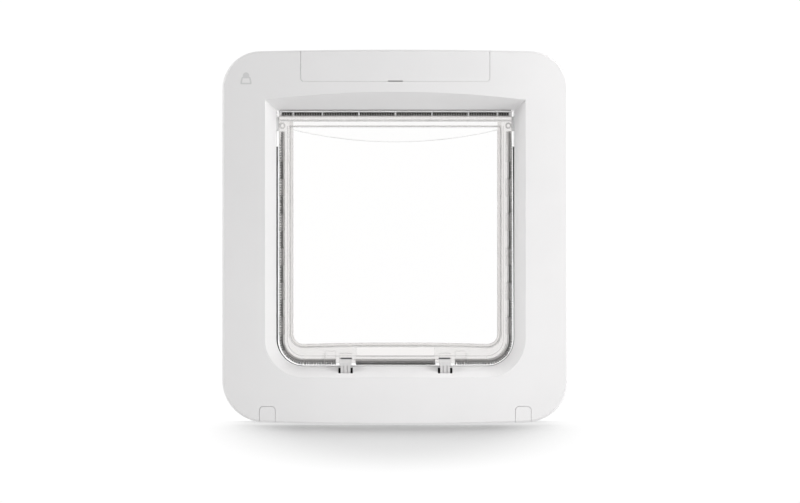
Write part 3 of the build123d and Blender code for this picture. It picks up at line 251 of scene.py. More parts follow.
# Cells: four round cells in a printed foil jacket, a plain slate body with a pale ring at the plus end.
# The bare steel cap and nub show past the jacket's shrunk edge.
CELL_PITCH = 0.0505
JACKET_END = 0.0483
RING_START = 0.0395
RING_END = 0.0435
JACKET_SLATE = (0.045, 0.075, 0.12, 1.0)
JACKET_RING = (0.62, 0.64, 0.66, 1.0)
CAP_STEEL = (0.62, 0.62, 0.6, 1.0)
SCUFF_SCALE = 260.0
cell_jacket, wire = new_finish("cell_jacket")
along = wire.math("WRAP", own_place(wire, "X"), CELL_PITCH, 0.0)
in_ring = wire.math("GREATER_THAN", along, RING_START) * wire.math("LESS_THAN", along, RING_END)
in_cap = wire.math("GREATER_THAN", along, JACKET_END)
surface = {
    "Base Color": in_cap.blend(in_ring.blend(JACKET_SLATE, JACKET_RING), CAP_STEEL),
    "Metallic": 0.25 + 0.75 * in_cap,
    "Roughness": 0.22 + 0.14 * noise(wire, SCUFF_SCALE, 4.0),
}
end_finish(wire, surface)
dress(cell_jacket, "battery_cells")

# Battery contacts: four leaf springs at the ends of the box that touch the cells.
# Bent from nickel-plated spring strip that has fine draw marks.
NICKEL_LIGHT = (0.74, 0.72, 0.68, 1.0)
NICKEL_DARK = (0.6, 0.58, 0.54, 1.0)
CONTACT_MARKS = (300.0, 300.0, 2500.0)
contact_metal = plated_steel("contact_metal", NICKEL_LIGHT, NICKEL_DARK, CONTACT_MARKS, roughness=0.2)
dress(contact_metal, "battery_contacts")

# Control board: glass-fibre board under green lacquer, with copper tracks that show through as paler lines.
# It stands on three standoffs of the chassis, in the upper left of the frame.
TRACK_LENGTH = 0.006
TRACK_PITCH = 0.0011
TRACK_GAP = 0.00016
TRACK_STAGGER = 0.37
TRACK_RELIEF = 0.00004
LACQUER = (0.018, 0.13, 0.06, 1.0)
TRACK_GREEN = (0.05, 0.26, 0.13, 1.0)
circuit_board, wire = new_finish("circuit_board")
place = wire.node("TexCoord", output="Object")
tracks = {
    "Vector": wire.node("Mapping", sockets={"Vector": place, "Rotation": (math.pi / 2, 0.0, 0.0)}),
    "Scale": 1.0,
    "Mortar Size": TRACK_GAP,
    "Brick Width": TRACK_LENGTH,
    "Row Height": TRACK_PITCH,
}
track = wire.node("TexBrick", {"offset": TRACK_STAGGER}, tracks, "Fac")
surface = {
    "Base Color": track.blend(LACQUER, TRACK_GREEN),
    "Roughness": 0.28 + 0.08 * track,
    "Normal": wire.node("Bump", sockets={"Strength": 0.5, "Distance": TRACK_RELIEF, "Height": track}),
}
end_finish(wire, surface)
dress(circuit_board, "control_board")

# Board components and learn switch: a processor, a radio chip, a connector, a choke and a push switch.
# Black moulded packages, soldered to the front of the board.
PACKAGE_BLACK = (0.025, 0.025, 0.027)
component_black = moulded_plastic("component_black", PACKAGE_BLACK, roughness=0.5, edge=0.0002)
dress(component_black, "board_components", "learn_switch")

# Status lamp: a small lamp on the board, behind the lock sign.
# Its lens is cast in glossy, red-tinted resin, so it has no grain.
LENS_RED = (0.62, 0.05, 0.04)
dress(moulded_plastic("lamp_lens", LENS_RED, roughness=0.15, edge=0.0003, grain=0.0), "status_lamp")

# Learn button: a small dark grey key, pressed to teach the lock a pet's chip.
# Moulded with a flange, which keeps it behind the guide plate of the battery box.
KEY_GREY = (0.10, 0.105, 0.11)
dress(moulded_plastic("button_plastic", KEY_GREY, roughness=0.38, edge=0.0003), "learn_button")

# Room-side frame: the one-piece moulding with the sloped recess, snapped over the chassis from the front.
# Same white ABS and grain as the chassis.
dress(white_case, "interior_bezel")


# Lock sign: a padlock printed in pale grey on the frame's upper left corner, in front of the lamp.
# A film of ink: an outlined body that is wider at its foot, under a filled shackle.
def add_piece(name, mesh_builder, finish, body, slot, *replaced):
    """Turns a bmesh into a finished piece that rides on a body and may stand for nodes of the frame."""
    mesh = bpy.data.meshes.new(name)
    mesh_builder.to_mesh(mesh)
    mesh_builder.free()
    mesh.materials.append(finish)
    piece = bpy.data.objects.new(name, mesh)
    bpy.context.scene.collection.objects.link(piece)
    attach(piece, body)
    if replaced:
        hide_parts(*replaced)


SIGN_FOOT = 0.0088
SIGN_SHOULDER = 0.0066
SIGN_BODY = 0.0056
SIGN_STROKE = 0.0011
SIGN_CORNER = 0.0009
SHACKLE_RADIUS = 0.0024
SHACKLE_LEG = 0.0010
SHACKLE_STEPS = 14
MERGE_GAP = 0.00001
INK_FILM = 0.00003
SIGN_DROP = 0.0206
SIGN_INSET = 0.0180
INK_GREY = (0.70, 0.70, 0.70)
bezel_low, bezel_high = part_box("interior_bezel")
sign_middle = Vector((bezel_low.x + SIGN_INSET, bezel_low.y, bezel_high.z - SIGN_DROP))
sign = bmesh.new()
corners = [
    (-SIGN_FOOT / 2, -SIGN_BODY),
    (SIGN_FOOT / 2, -SIGN_BODY),
    (SIGN_SHOULDER / 2, 0.0),
    (-SIGN_SHOULDER / 2, 0.0),
]
bmesh.ops.contextual_create(sign, geom=[sign.verts.new((x, 0.0, z)) for x, z in corners])
bmesh.ops.bevel(
    sign, geom=sign.verts[:], offset=SIGN_CORNER, segments=3, profile=0.5, affect="VERTICES", material=-1
)
stroke = {"thickness": SIGN_STROKE, "use_boundary": True, "use_even_offset": True}
bmesh.ops.inset_region(sign, faces=sign.faces[:], **stroke)
inside = max(sign.faces, key=lambda face: face.calc_area())
bmesh.ops.delete(sign, geom=[inside], context="FACES")
leg_low = sign.verts.new((-SHACKLE_RADIUS, 0.0, 0.0))
leg_high = sign.verts.new((-SHACKLE_RADIUS, 0.0, SHACKLE_LEG))
centre_low = sign.verts.new((0.0, 0.0, 0.0))
centre_high = sign.verts.new((0.0, 0.0, SHACKLE_LEG))
end_low = sign.verts.new((SHACKLE_RADIUS, 0.0, 0.0))
end_high = sign.verts.new((SHACKLE_RADIUS, 0.0, SHACKLE_LEG))
sign.faces.new((leg_low, centre_low, centre_high, leg_high))
sign.faces.new((centre_low, end_low, end_high, centre_high))
spoke = sign.edges.get((leg_high, centre_high))
bmesh.ops.spin(
    sign,
    geom=[spoke, leg_high, centre_high],
    cent=centre_high.co,
    axis=(0.0, 1.0, 0.0),
    angle=math.pi,
    steps=SHACKLE_STEPS,
)
bmesh.ops.remove_doubles(sign, verts=sign.verts[:], dist=MERGE_GAP)
thick = bmesh.ops.extrude_face_region(sign, geom=sign.faces[:])["geom"]
film = [part for part in thick if isinstance(part, bmesh.types.BMVert)]
bmesh.ops.translate(sign, verts=film, vec=(0.0, -INK_FILM, 0.0))
bmesh.ops.recalc_face_normals(sign, faces=sign.faces[:])
bmesh.ops.translate(sign, verts=sign.verts[:], vec=sign_middle)
sign_ink = moulded_plastic("sign_ink", INK_GREY, roughness=0.4, edge=0.0001, grain=0.1)
add_piece("lock_sign", sign, sign_ink, "frame", "white_case")

# Battery cover and screw covers: the large one slides up out of the top band, to change the cells.
# The two small ones push into the bottom band over the lower fixing screws. All are of the case's white ABS.
dress(white_case, "battery_cover", "screw_cover_left", "screw_cover_right")

# Flap: one moulding of clear polycarbonate with its hinge bar, edge channel, strike pads and stub pivots.
# The pane is polished in the mould. The thick rim round it looks warm and faintly hazy, and the strip next
# to the pane is tinted darker, painted shade of what is seen through its sloped face. Its frosted edges draw
# thin grey lines on the light and pale ones on the pile.
CLEAR_INDEX = 1.58
CLEAR_ROUGHNESS = 0.02
CLEAR_TINT = (1.0, 1.0, 1.0, 1.0)
RIM_TINT = (0.96, 0.945, 0.94, 1.0)
BAR_SHADOW_GREY = (0.44, 0.41, 0.395, 1.0)
PAD_TINT = (0.945, 0.93, 0.925, 1.0)
# Painted shade: the strip next to the pane is tinted darker, for the darker surroundings seen through its
# sloped face.
STRIP_SHADE_TINT = (0.74, 0.725, 0.715, 1.0)
FROST_WHITE = (0.70, 0.69, 0.68, 1.0)
RIB_AND_HIGHLIGHT_WHITE = (0.90, 0.895, 0.89, 1.0)
FROST_SHARE = 0.75
FROST_ROUGHNESS = 0.4
EDGE_START = 0.995
EDGE_FULL = 0.55
RIM_HAZE = 0.10
TINT_BLEND = 0.0004
DEPTH_TINT = (0.24, 0.16, 0.10, 1.0)
DEPTH_DENSITY = 10.0
FLAP_EDGE = 0.0008
WAVE_SCALE = 90.0
WAVE_DEPTH = 0.0002
PANE_HALF = 0.0808
PANE_BOTTOM = -0.0833
PANE_BOTTOM_BOW = 0.0014
PANE_TOP = 0.0881
PANE_CORNER = 0.0110
STRIP_WIDTH = 0.0030
BAR_TOP = 0.0924
RIB_FROST = 0.85
PAD_HALF = 0.0298
PAD_BOTTOM = -0.0906
HUB_X = 0.0861
HUB_Z = 0.0850
HUB_RADIUS = 0.0022
HUB_LINE = 0.0005
HUB_FROST = 0.7
BROW_HEIGHT = 0.0600
BROW_FROST = 0.35
# Hinge bar: a painted shadow of the top pile darkens the frost along its top, and a painted highlight
# whitens the frosted edges below it.
BAR_SHADOW_FOOT = 0.0902
BAR_SHADOW_SHARE = 0.6
LEDGE_X = 0.0697
LEDGE_Z = -0.0778
LEDGE_RADIUS = 0.0125
LEDGE_LINE = 0.0004
LEDGE_FROST = 0.32
# Painted shadow: a dark line on the flap just above each latch head.
LATCH_SHADOW_INNER = 0.0334
LATCH_SHADOW_OUTER = 0.0414
LATCH_SHADOW_LOW = -0.0927
LATCH_SHADOW_HIGH = -0.0918
LATCH_SHADOW_GREY = (0.10, 0.10, 0.10, 1.0)
clear_flap, wire = new_finish("clear_flap")
rounded = wire.node("Bevel", {"samples": EDGE_SAMPLES}, {"Radius": FLAP_EDGE})
own_way = {"vector_type": "NORMAL", "convert_from": "WORLD", "convert_to": "OBJECT"}
own_normal = wire.node("VectorTransform", own_way, {"Vector": rounded})
flatness = wire.math("ABSOLUTE", wire.node("SeparateXYZ", sockets={0: own_normal}, output="Y"))
across = wire.math("ABSOLUTE", own_place(wire, "X"))
height = own_place(wire, "Z")


def within(value, low, high):
    """1 between two values and 0 outside them, with a soft edge at both ends."""
    return value.step(low - TINT_BLEND, low) * (1.0 - value.step(high, high + TINT_BLEND))


bow = across * across * (PANE_BOTTOM_BOW / PANE_HALF**2)
corner_x = wire.math("MAXIMUM", across - (PANE_HALF - PANE_CORNER), 0.0)
corner_z = wire.math("MAXIMUM", PANE_BOTTOM + PANE_CORNER - bow - height, 0.0)
outward = wire.math("SQRT", corner_x * corner_x + corner_z * corner_z) - PANE_CORNER
in_strip = outward.step(-STRIP_WIDTH - TINT_BLEND, -STRIP_WIDTH + TINT_BLEND)
in_rim = wire.math("MAXIMUM", outward, height - PANE_TOP).step(-TINT_BLEND, TINT_BLEND)
pad_height = height.step(PAD_BOTTOM - TINT_BLEND, PAD_BOTTOM) * (1.0 - height.step(PANE_BOTTOM, 0.0))
in_pad = pad_height * (1.0 - across.step(PAD_HALF - TINT_BLEND, PAD_HALF))
in_brow = (1.0 - in_strip) * within(height, BROW_HEIGHT + TINT_BLEND, HUB_Z - 2 * TINT_BLEND)
hub_x = across - HUB_X
hub_z = height - HUB_Z
from_hub = wire.math("SQRT", hub_x * hub_x + hub_z * hub_z) - (HUB_RADIUS - HUB_LINE)
hub_line = 1.0 - wire.math("ABSOLUTE", from_hub).step(HUB_LINE / 2, HUB_LINE)
# Painted shadow along the top of the hinge bar, and painted highlight on the bar's frosted edges below it.
below_bar_shadow = 1.0 - height.step(BAR_SHADOW_FOOT, BAR_SHADOW_FOOT + TINT_BLEND)
bar_edge_highlight = height.step(HUB_Z + HUB_RADIUS, PANE_TOP) * below_bar_shadow
painted_bar_shadow = height.step(BAR_SHADOW_FOOT, BAR_TOP) * in_rim
in_ribs = height.step(BAR_TOP - TINT_BLEND / 2, BAR_TOP + TINT_BLEND / 2)
# Painted shadow of each latch head on the flap above it.
painted_latch_shadow = within(across, LATCH_SHADOW_INNER, LATCH_SHADOW_OUTER) * within(height, LATCH_SHADOW_LOW, LATCH_SHADOW_HIGH)
ledge_x = wire.math("MAXIMUM", across - LEDGE_X, 0.0)
ledge_z = wire.math("MAXIMUM", LEDGE_Z - height, 0.0)
from_ledge = wire.math("SQRT", ledge_x * ledge_x + ledge_z * ledge_z) - LEDGE_RADIUS
ledge_line = 1.0 - wire.math("ABSOLUTE", from_ledge).step(LEDGE_LINE / 2, LEDGE_LINE)
ledge_line = ledge_line * in_rim * (1.0 - height.step(HUB_Z - HUB_LINE, HUB_Z))
edge_frost = FROST_SHARE * (1.0 - flatness.step(EDGE_FULL, EDGE_START))
frost = edge_frost * (1.0 - (1.0 - BROW_FROST) * in_brow)
hazes = (
    RIM_HAZE * in_rim * (1.0 - in_pad),
    RIB_FROST * in_ribs,
    HUB_FROST * hub_line,
    LEDGE_FROST * ledge_line,
    BAR_SHADOW_SHARE * painted_bar_shadow,
    painted_latch_shadow,
)
for haze in hazes:
    frost = wire.math("MAXIMUM", frost, haze)
wave = {"Strength": 0.06, "Distance": WAVE_DEPTH, "Height": noise(wire, WAVE_SCALE), "Normal": rounded}
relief = wire.node("Bump", sockets=wave)
pane_tint_and_strip_shade = in_strip.blend(CLEAR_TINT, STRIP_SHADE_TINT)
polished = {
    "Base Color": in_rim.blend(pane_tint_and_strip_shade, in_pad.blend(RIM_TINT, PAD_TINT)),
    "Roughness": CLEAR_ROUGHNESS,
    "IOR": CLEAR_INDEX,
    "Transmission Weight": 1.0,
    "Normal": relief,
}
shadowed_frost = painted_bar_shadow.blend(FROST_WHITE, BAR_SHADOW_GREY)
rib_and_highlight_white = wire.math("MAXIMUM", in_ribs, bar_edge_highlight).blend(shadowed_frost, RIB_AND_HIGHLIGHT_WHITE)
frosted = {
    "Base Color": painted_latch_shadow.blend(rib_and_highlight_white, LATCH_SHADOW_GREY),
    "Roughness": FROST_ROUGHNESS,
    "Normal": relief,
}
mixed = {
    0: frost,
    1: wire.node("BsdfPrincipled", sockets=polished),
    2: wire.node("BsdfPrincipled", sockets=frosted),
}
depth = wire.node("VolumeAbsorption", sockets={"Color": DEPTH_TINT, "Density": DEPTH_DENSITY})
wire.node("OutputMaterial", sockets={"Surface": wire.node("MixShader", sockets=mixed), "Volume": depth})
dress(clear_flap, "flap_panel")

# Light pipe: a clear square rod that carries the status lamp's light to the back of the frame's face.
# Moulded in the flap's polycarbonate, and held between the lamp and the frame's front wall.
dress(clear_flap, "light_pipe")

# Pile strips: dense short fibres on a backing tape with a fin, pushed into the channel round the flap.
# Grey polypropylene fibres that stand out towards the tunnel wall and lean in small tufts, on a paler tape;
# their colour carries a painted highlight, and the side and bottom strips are painted lighter than the top
# one.
# Four lengths: one along the top, one down each side and round its corner, and one between the latches.
PILE_SPACING = 0.00042
PILE_ROWS = 8
TAPE_THICKNESS = 0.0011
TOP_TAPE = 0.0002
TAPE_GREY = (0.85, 0.84, 0.83)
FIN_THICKNESS = 0.0006
FIN_SHARE = 0.9
FIBRE_RADIUS = 0.00011
FIBRE_TIP = 0.4
FIBRE_SIDES = 3
FIBRE_LEAN = 0.22
FIBRE_STRAY = 0.12
SHORTEST_FIBRE = 0.86
TUFT_LENGTH = 0.0019
TUFT_SCALE = 1500.0
# Top strip: near black, with a painted highlight along its leaning rows.
TOP_DARK = (0.02, 0.02, 0.02, 1.0)
TOP_LIGHT = (0.55, 0.54, 0.53, 1.0)
# Side and bottom strips: painted lighter than the top strip, a painted reflection of the clear rim they are
# seen through, with a painted highlight on tufts at random.
SIDE_DARK = (0.16, 0.157, 0.152, 1.0)
SIDE_LIGHT = (0.32, 0.315, 0.31, 1.0)
TOP_STAND = 0.0025
SIDE_STAND = 0.0038
SIDE_ROOM = {-1: 0.0056, 1: 0.0047}
CORNER_STAND = 0.0047
MIDDLE_DROP = 0.0005
BOTTOM_STAND = 0.0044
BOTTOM_ROOM = 0.0050
ROOT_CORNER = 0.0148
TIP_TAPER = 0.0012
TAPER_END = 0.069
TURN_STEPS = 14
PILE_SEED = 7


def pile_finish(name, dark, light, rows=None):
    """Synthetic pile with a painted highlight where its tufts catch the light, unevenly or in two rows that
    lean to and fro.
    """
    material, wire = new_finish(name)
    tuft = noise(wire, TUFT_SCALE, 1.0)
    caught_highlight = tuft.step(0.35, 0.75)
    if rows:
        foot, head = rows
        sway = wire.math("PINGPONG", own_place(wire, "X"), TUFT_LENGTH / 2)
        rise = own_place(wire, "Z") - foot
        overlap = sway * (2 * (head - foot) / TUFT_LENGTH) - rise
        caught_highlight = overlap.step(-TUFT_LENGTH / 8, TUFT_LENGTH / 8)
    surface = {
        "Base Color": caught_highlight.blend(dark, light),
        "Roughness": 0.55 + 0.2 * tuft,
        "Sheen Weight": 0.2,
    }
    end_finish(wire, surface)
    return material


top_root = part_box("pile_top")[0].z
top_rows = (top_root + TOP_TAPE, top_root + TOP_STAND)
dark_pile = pile_finish("dark_pile", TOP_DARK, TOP_LIGHT, top_rows)
grey_pile = pile_finish("grey_pile", SIDE_DARK, SIDE_LIGHT)
pile_tape = moulded_plastic("pile_tape", TAPE_GREY, roughness=0.6, edge=0.0002)
draw = random.Random(PILE_SEED)
up = Vector((0.0, 0.0, 1.0))
down = -up
through = Vector((0.0, 1.0, 0.0))


def start_section(mesh_builder, corner, out, outline):
    """An end face from (distance along out, distance through the door) pairs, to be run on from there."""
    verts = [mesh_builder.verts.new(corner + out * reach + through * y) for reach, y in outline]
    return bmesh.ops.contextual_create(mesh_builder, geom=verts)["faces"]


def run_on(mesh_builder, faces, step):
    """Extrudes an end face by a step and returns the new end face."""
    grown = bmesh.ops.extrude_face_region(mesh_builder, geom=faces)["geom"]
    verts = [part for part in grown if isinstance(part, bmesh.types.BMVert)]
    bmesh.ops.translate(mesh_builder, verts=verts, vec=step)
    return [part for part in grown if isinstance(part, bmesh.types.BMFace)]


def turn_on(mesh_builder, faces, centre, angle):
    """Turns an end face about a centre, in the plane of the frame, and returns the new end face."""
    turned = {"cent": centre, "axis": through, "angle": angle, "steps": TURN_STEPS}
    spun = bmesh.ops.spin(mesh_builder, geom=faces, **turned)["geom_last"]
    return [part for part in spun if isinstance(part, bmesh.types.BMFace)]


def oblong(low, high, y_low, y_high):
    """Section of a flat strip, in distances along out and through the door."""
    return ((low, y_low), (high, y_low), (high, y_high), (low, y_high))


def fin_section(base, length, y_low, y_high):
    """The fin stands in the middle of the tape, among the fibres."""
    fin_low = (y_low + y_high - FIN_THICKNESS) / 2
    return oblong(base, length * FIN_SHARE, fin_low, fin_low + FIN_THICKNESS)


def plant(pile, root, out, length, y_low, y_high, travelled):
    """One row of fibres across the tape, from a root point, standing along out."""
    side = Vector((-out.z, 0.0, out.x))
    step = (y_high - y_low - 2 * FIBRE_RADIUS) / PILE_ROWS
    row = bmesh.new()
    for place in range(PILE_ROWS):
        y = y_low + FIBRE_RADIUS + step * (place + draw.random())
        sway = FIBRE_LEAN * math.sin(2 * math.pi * travelled / TUFT_LENGTH)
        lean = sway + draw.uniform(-FIBRE_STRAY, FIBRE_STRAY)
        along = (out + side * lean).normalized()
        reach = length * draw.uniform(SHORTEST_FIBRE, 1.0)
        foot = Vector((root.x, y, root.z)) + side * draw.uniform(-0.5, 0.5) * PILE_SPACING
        turn = up.rotation_difference(along).to_matrix().to_4x4()
        bmesh.ops.create_cone(
            row,
            segments=FIBRE_SIDES,
            radius1=FIBRE_RADIUS,
            radius2=FIBRE_RADIUS * FIBRE_TIP,
            depth=reach,
            matrix=Matrix.Translation(foot + along * reach / 2) @ turn,
        )
    planted = bpy.data.meshes.new("row")
    row.to_mesh(planted)
    row.free()
    pile.from_mesh(planted)
    bpy.data.meshes.remove(planted)


def plant_run(pile, start, end, out, length, y_low, y_high, start_length=None):
    """Rows of fibres along a straight run of the tape, which may grow longer from its start."""
    first = start_length or length
    run = end - start
    count = round(run.length / PILE_SPACING)
    for place in range(count):
        share = (place + 0.5) / count
        stand = first + (length - first) * share
        plant(pile, start + run * share, out, stand, y_low, y_high, run.length * share)


def straight_pile(node, finish, root_z, out, base, length):
    """A straight strip of pile along the width of a node, on a tape of the given thickness."""
    low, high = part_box(node)
    start = Vector((low.x, 0.0, root_z))
    end = Vector((high.x, 0.0, root_z))
    tape = bmesh.new()
    pile = bmesh.new()
    sections = (oblong(0.0, base, low.y, high.y), fin_section(base, length, low.y, high.y))
    for strip, section in zip((tape, pile), sections):
        run_on(strip, start_section(strip, start, out, section), end - start)
        bmesh.ops.recalc_face_normals(strip, faces=strip.faces[:])
    inset = Vector((FIBRE_RADIUS + PILE_SPACING / 2, 0.0, 0.0))
    plant_run(pile, start + inset, end - inset, out, length, low.y, high.y)
    add_piece(node + "_fibres", pile, finish, "flap", "dark_pile", node)
    add_piece(node + "_tape", tape, pile_tape, "flap", "dark_pile")


straight_pile("pile_top", dark_pile, top_root, up, TOP_TAPE, TOP_STAND)
bottom_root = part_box("pile_bottom")[0].z + BOTTOM_ROOM
straight_pile("pile_bottom", grey_pile, bottom_root - MIDDLE_DROP, down, TAPE_THICKNESS, BOTTOM_STAND)

for name, side in (("pile_left", -1), ("pile_right", 1)):
    low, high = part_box(name)
    inner = side * min(abs(low.x), abs(high.x))
    root_x = side * (max(abs(low.x), abs(high.x)) - SIDE_ROOM[side])
    out = Vector((side, 0.0, 0.0))
    bend_middle = Vector((root_x - side * ROOT_CORNER, 0.0, bottom_root + ROOT_CORNER))
    head = Vector((root_x, 0.0, high.z))
    taper_foot = Vector((root_x, 0.0, TAPER_END))
    bend_start = Vector((root_x, 0.0, bend_middle.z))
    bend_end = Vector((bend_middle.x, 0.0, bottom_root))
    tail = Vector((inner, 0.0, bottom_root))
    tape = bmesh.new()
    pile = bmesh.new()
    fin = fin_section(TAPE_THICKNESS, SIDE_STAND - TIP_TAPER, low.y, high.y)
    for strip, section in ((tape, oblong(0.0, TAPE_THICKNESS, low.y, high.y)), (pile, fin)):
        end_face = start_section(strip, head, out, section)
        end_face = run_on(strip, end_face, bend_start - head)
        end_face = turn_on(strip, end_face, bend_middle, side * math.pi / 2)
        run_on(strip, end_face, tail - bend_end)
        bmesh.ops.remove_doubles(strip, verts=strip.verts[:], dist=MERGE_GAP)
        bmesh.ops.recalc_face_normals(strip, faces=strip.faces[:])
    plant_run(pile, head, taper_foot, out, SIDE_STAND, low.y, high.y, SIDE_STAND - TIP_TAPER)
    plant_run(pile, taper_foot, bend_start, out, SIDE_STAND, low.y, high.y)
    bend = (ROOT_CORNER + SIDE_STAND) * math.pi / 2
    rows = round(bend / PILE_SPACING)
    for row in range(rows):
        share = (row + 0.5) / rows
        away = Vector((side * math.cos(share * math.pi / 2), 0.0, -math.sin(share * math.pi / 2)))
        stand = SIDE_STAND + (CORNER_STAND - SIDE_STAND) * share
        plant(pile, bend_middle + away * ROOT_CORNER, away, stand, low.y, high.y, share * bend)
    plant_run(pile, bend_end, tail, down, CORNER_STAND, low.y, high.y)
    add_piece(name + "_fibres", pile, grey_pile, "flap", "dark_pile", name)
    add_piece(name + "_tape", tape, pile_tape, "flap", "dark_pile")

# Tunnel edge strip: a thin black strip along the edge of the tunnel, on both sides and round the bottom.
# It lies at the joint to the frame's recess, and thins out along the bottom and down the right.
# Along the top, a plain grey strip at the tunnel's top edge is painted shade, for the shadowed underside of
# the recess's lip.
EDGE_STRIP_PROUD = 0.0011
EDGE_STRIP_THIN = 0.0003
EDGE_STRIP_THICKNESS = 0.0007
EDGE_STRIP_BACK = 0.0010
TUNNEL_HALF = 0.0905
TUNNEL_FLOOR = -0.098
TUNNEL_CORNER = 0.021
EDGE_STRIP_BLACK = (0.02, 0.02, 0.021)
TUNNEL_TOP = 0.0970
LIP_HALF = 0.0880
LIP_PROUD = 0.0008
LIP_SHADE_GREY = (0.33, 0.32, 0.32)
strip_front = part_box("chassis")[0].y + EDGE_STRIP_BACK
bend_x = TUNNEL_HALF - TUNNEL_CORNER
bend_z = TUNNEL_FLOOR + TUNNEL_CORNER
edge_strip = bmesh.new()
edge_strip_section = oblong(0.0, EDGE_STRIP_PROUD, strip_front, strip_front + EDGE_STRIP_THICKNESS)
edge_strip_head = Vector((-TUNNEL_HALF, 0.0, TAPER_END))
end_face = start_section(edge_strip, edge_strip_head, Vector((1.0, 0.0, 0.0)), edge_strip_section)
end_face = run_on(edge_strip, end_face, (0.0, 0.0, bend_z - TAPER_END))
end_face = turn_on(edge_strip, end_face, (-bend_x, 0.0, bend_z), -math.pi / 2)
end_face = run_on(edge_strip, end_face, (2 * bend_x, 0.0, 0.0))
end_face = turn_on(edge_strip, end_face, (bend_x, 0.0, bend_z), -math.pi / 2)
run_on(edge_strip, end_face, (0.0, 0.0, TAPER_END - bend_z))
bmesh.ops.remove_doubles(edge_strip, verts=edge_strip.verts[:], dist=MERGE_GAP)
bmesh.ops.recalc_face_normals(edge_strip, faces=edge_strip.faces[:])
for vert in edge_strip.verts:
    x, z = vert.co.x, vert.co.z
    from_bend = Vector((x - max(-bend_x, min(bend_x, x)), 0.0, min(0.0, z - bend_z)))
    if z < TAPER_END - EDGE_STRIP_PROUD and from_bend.length < TUNNEL_CORNER - EDGE_STRIP_PROUD / 2:
        share = 1.0 if x > 0.0 else -from_bend.z / from_bend.length
        vert.co += from_bend.normalized() * (EDGE_STRIP_PROUD - EDGE_STRIP_THIN) * share
edge_strip_black = moulded_plastic("edge_strip_black", EDGE_STRIP_BLACK, roughness=0.45, edge=0.0002)
add_piece("tunnel_edge_strip", edge_strip, edge_strip_black, "frame", "dark_pile")
lip = bmesh.new()
lip_section = oblong(0.0, LIP_PROUD, strip_front, strip_front + EDGE_STRIP_THICKNESS)
end_face = start_section(lip, Vector((-LIP_HALF, 0.0, TUNNEL_TOP)), down, lip_section)
run_on(lip, end_face, (2 * LIP_HALF, 0.0, 0.0))
bmesh.ops.recalc_face_normals(lip, faces=lip.faces[:])
# Painted shade: a grey strip standing for the shadow under the recess's top lip.
lip_shade = moulded_plastic("lip_shade", LIP_SHADE_GREY, roughness=0.45, edge=0.0002)
add_piece("header_lip_shade", lip, lip_shade, "frame", "dark_pile")

# Latch slot shade: painted shade, a black sheet 0.3 mm thick at the back of each slot in the sill, behind
# the latch, that stands in for the shade in the slot and shows as a dark patch on both sides of the latch's
# stem.
SLOT_SHADE_BLACK = (0.012, 0.012, 0.012)
SLOT_SHADE_HALF = 0.0054
SLOT_SHADE_THICKNESS = 0.0003
SLOT_SHADE_TOP = -0.0992
SLOT_SHADE_HEIGHT = 0.0065
SLOT_X = 0.0378
SLOT_BACK = -0.0245
slot_shade = bmesh.new()
slot_shade_section = oblong(0.0, SLOT_SHADE_HEIGHT, SLOT_BACK - SLOT_SHADE_THICKNESS, SLOT_BACK)
for side in (-1, 1):
    corner = Vector((side * SLOT_X - SLOT_SHADE_HALF, 0.0, SLOT_SHADE_TOP))
    run_on(slot_shade, start_section(slot_shade, corner, down, slot_shade_section), (2 * SLOT_SHADE_HALF, 0.0, 0.0))
bmesh.ops.recalc_face_normals(slot_shade, faces=slot_shade.faces[:])
slot_shade_black = moulded_plastic("slot_shade_black", SLOT_SHADE_BLACK, roughness=0.9, edge=0.0002)
add_piece("latch_slot_shade", slot_shade, slot_shade_black, "frame", "dark_pile")

# Outside frame: the shallow shell on the far side of the door, with a collar that laps over the tunnel.
# The same white ABS as the room-side frame, with softer edges.
dress(moulded_plastic("outside_case", CASE_WHITE, roughness=0.46, edge=0.0020), "exterior_frame")

# Fixing screws: four of plated steel, from the room side through the door into the outside frame's bosses.
# The pan head is cold-formed with a cross recess, and the rolled thread winds round the shank as a ridge.
SCREW_LIGHT = (0.7, 0.7, 0.68, 1.0)
SCREW_DARK = (0.52, 0.52, 0.5, 1.0)
SCREW_SEATS = ((0.0635, -0.0200, 0.1310), (0.0969, -0.0235, -0.1330))
HEAD_RADIUS = 0.0038
HEAD_HEIGHT = 0.0026
HEAD_PROFILE = ((0.90, 0.06), (0.98, 0.22), (1.0, 0.45), (1.0, 1.0))
CROWN_RADIUS = 0.0029
RECESS_ARM = 0.0020
RECESS_HALF = 0.0005
RECESS_DEPTH = 0.0014
RECESS_FLOOR = 0.55
SHANK_RADIUS = 0.0016
THREAD_RADIUS = 0.00196
THREAD_PITCH = 0.0011
THREAD_STEPS = 14
TIP_LENGTH = 0.0022
TIP_SHARE = 0.3
SCREW_SEGMENTS = 24
SCREW_MARKS = (900.0, 200.0, 900.0)
screw_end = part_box("fixing_screws")[1].y


def ring_on(mesh_builder, loop, y, scale):
    """Extrudes a round loop of edges along the screw and sets its radius, as a share of what it was."""
    grown = bmesh.ops.extrude_edge_only(mesh_builder, edges=loop)["geom"]
    verts = [part for part in grown if isinstance(part, bmesh.types.BMVert)]
    bmesh.ops.scale(mesh_builder, verts=verts, vec=(scale, 1.0, scale))
    bmesh.ops.translate(mesh_builder, verts=verts, vec=(0.0, y - verts[0].co.y, 0.0))
    return [part for part in grown if isinstance(part, bmesh.types.BMEdge)]


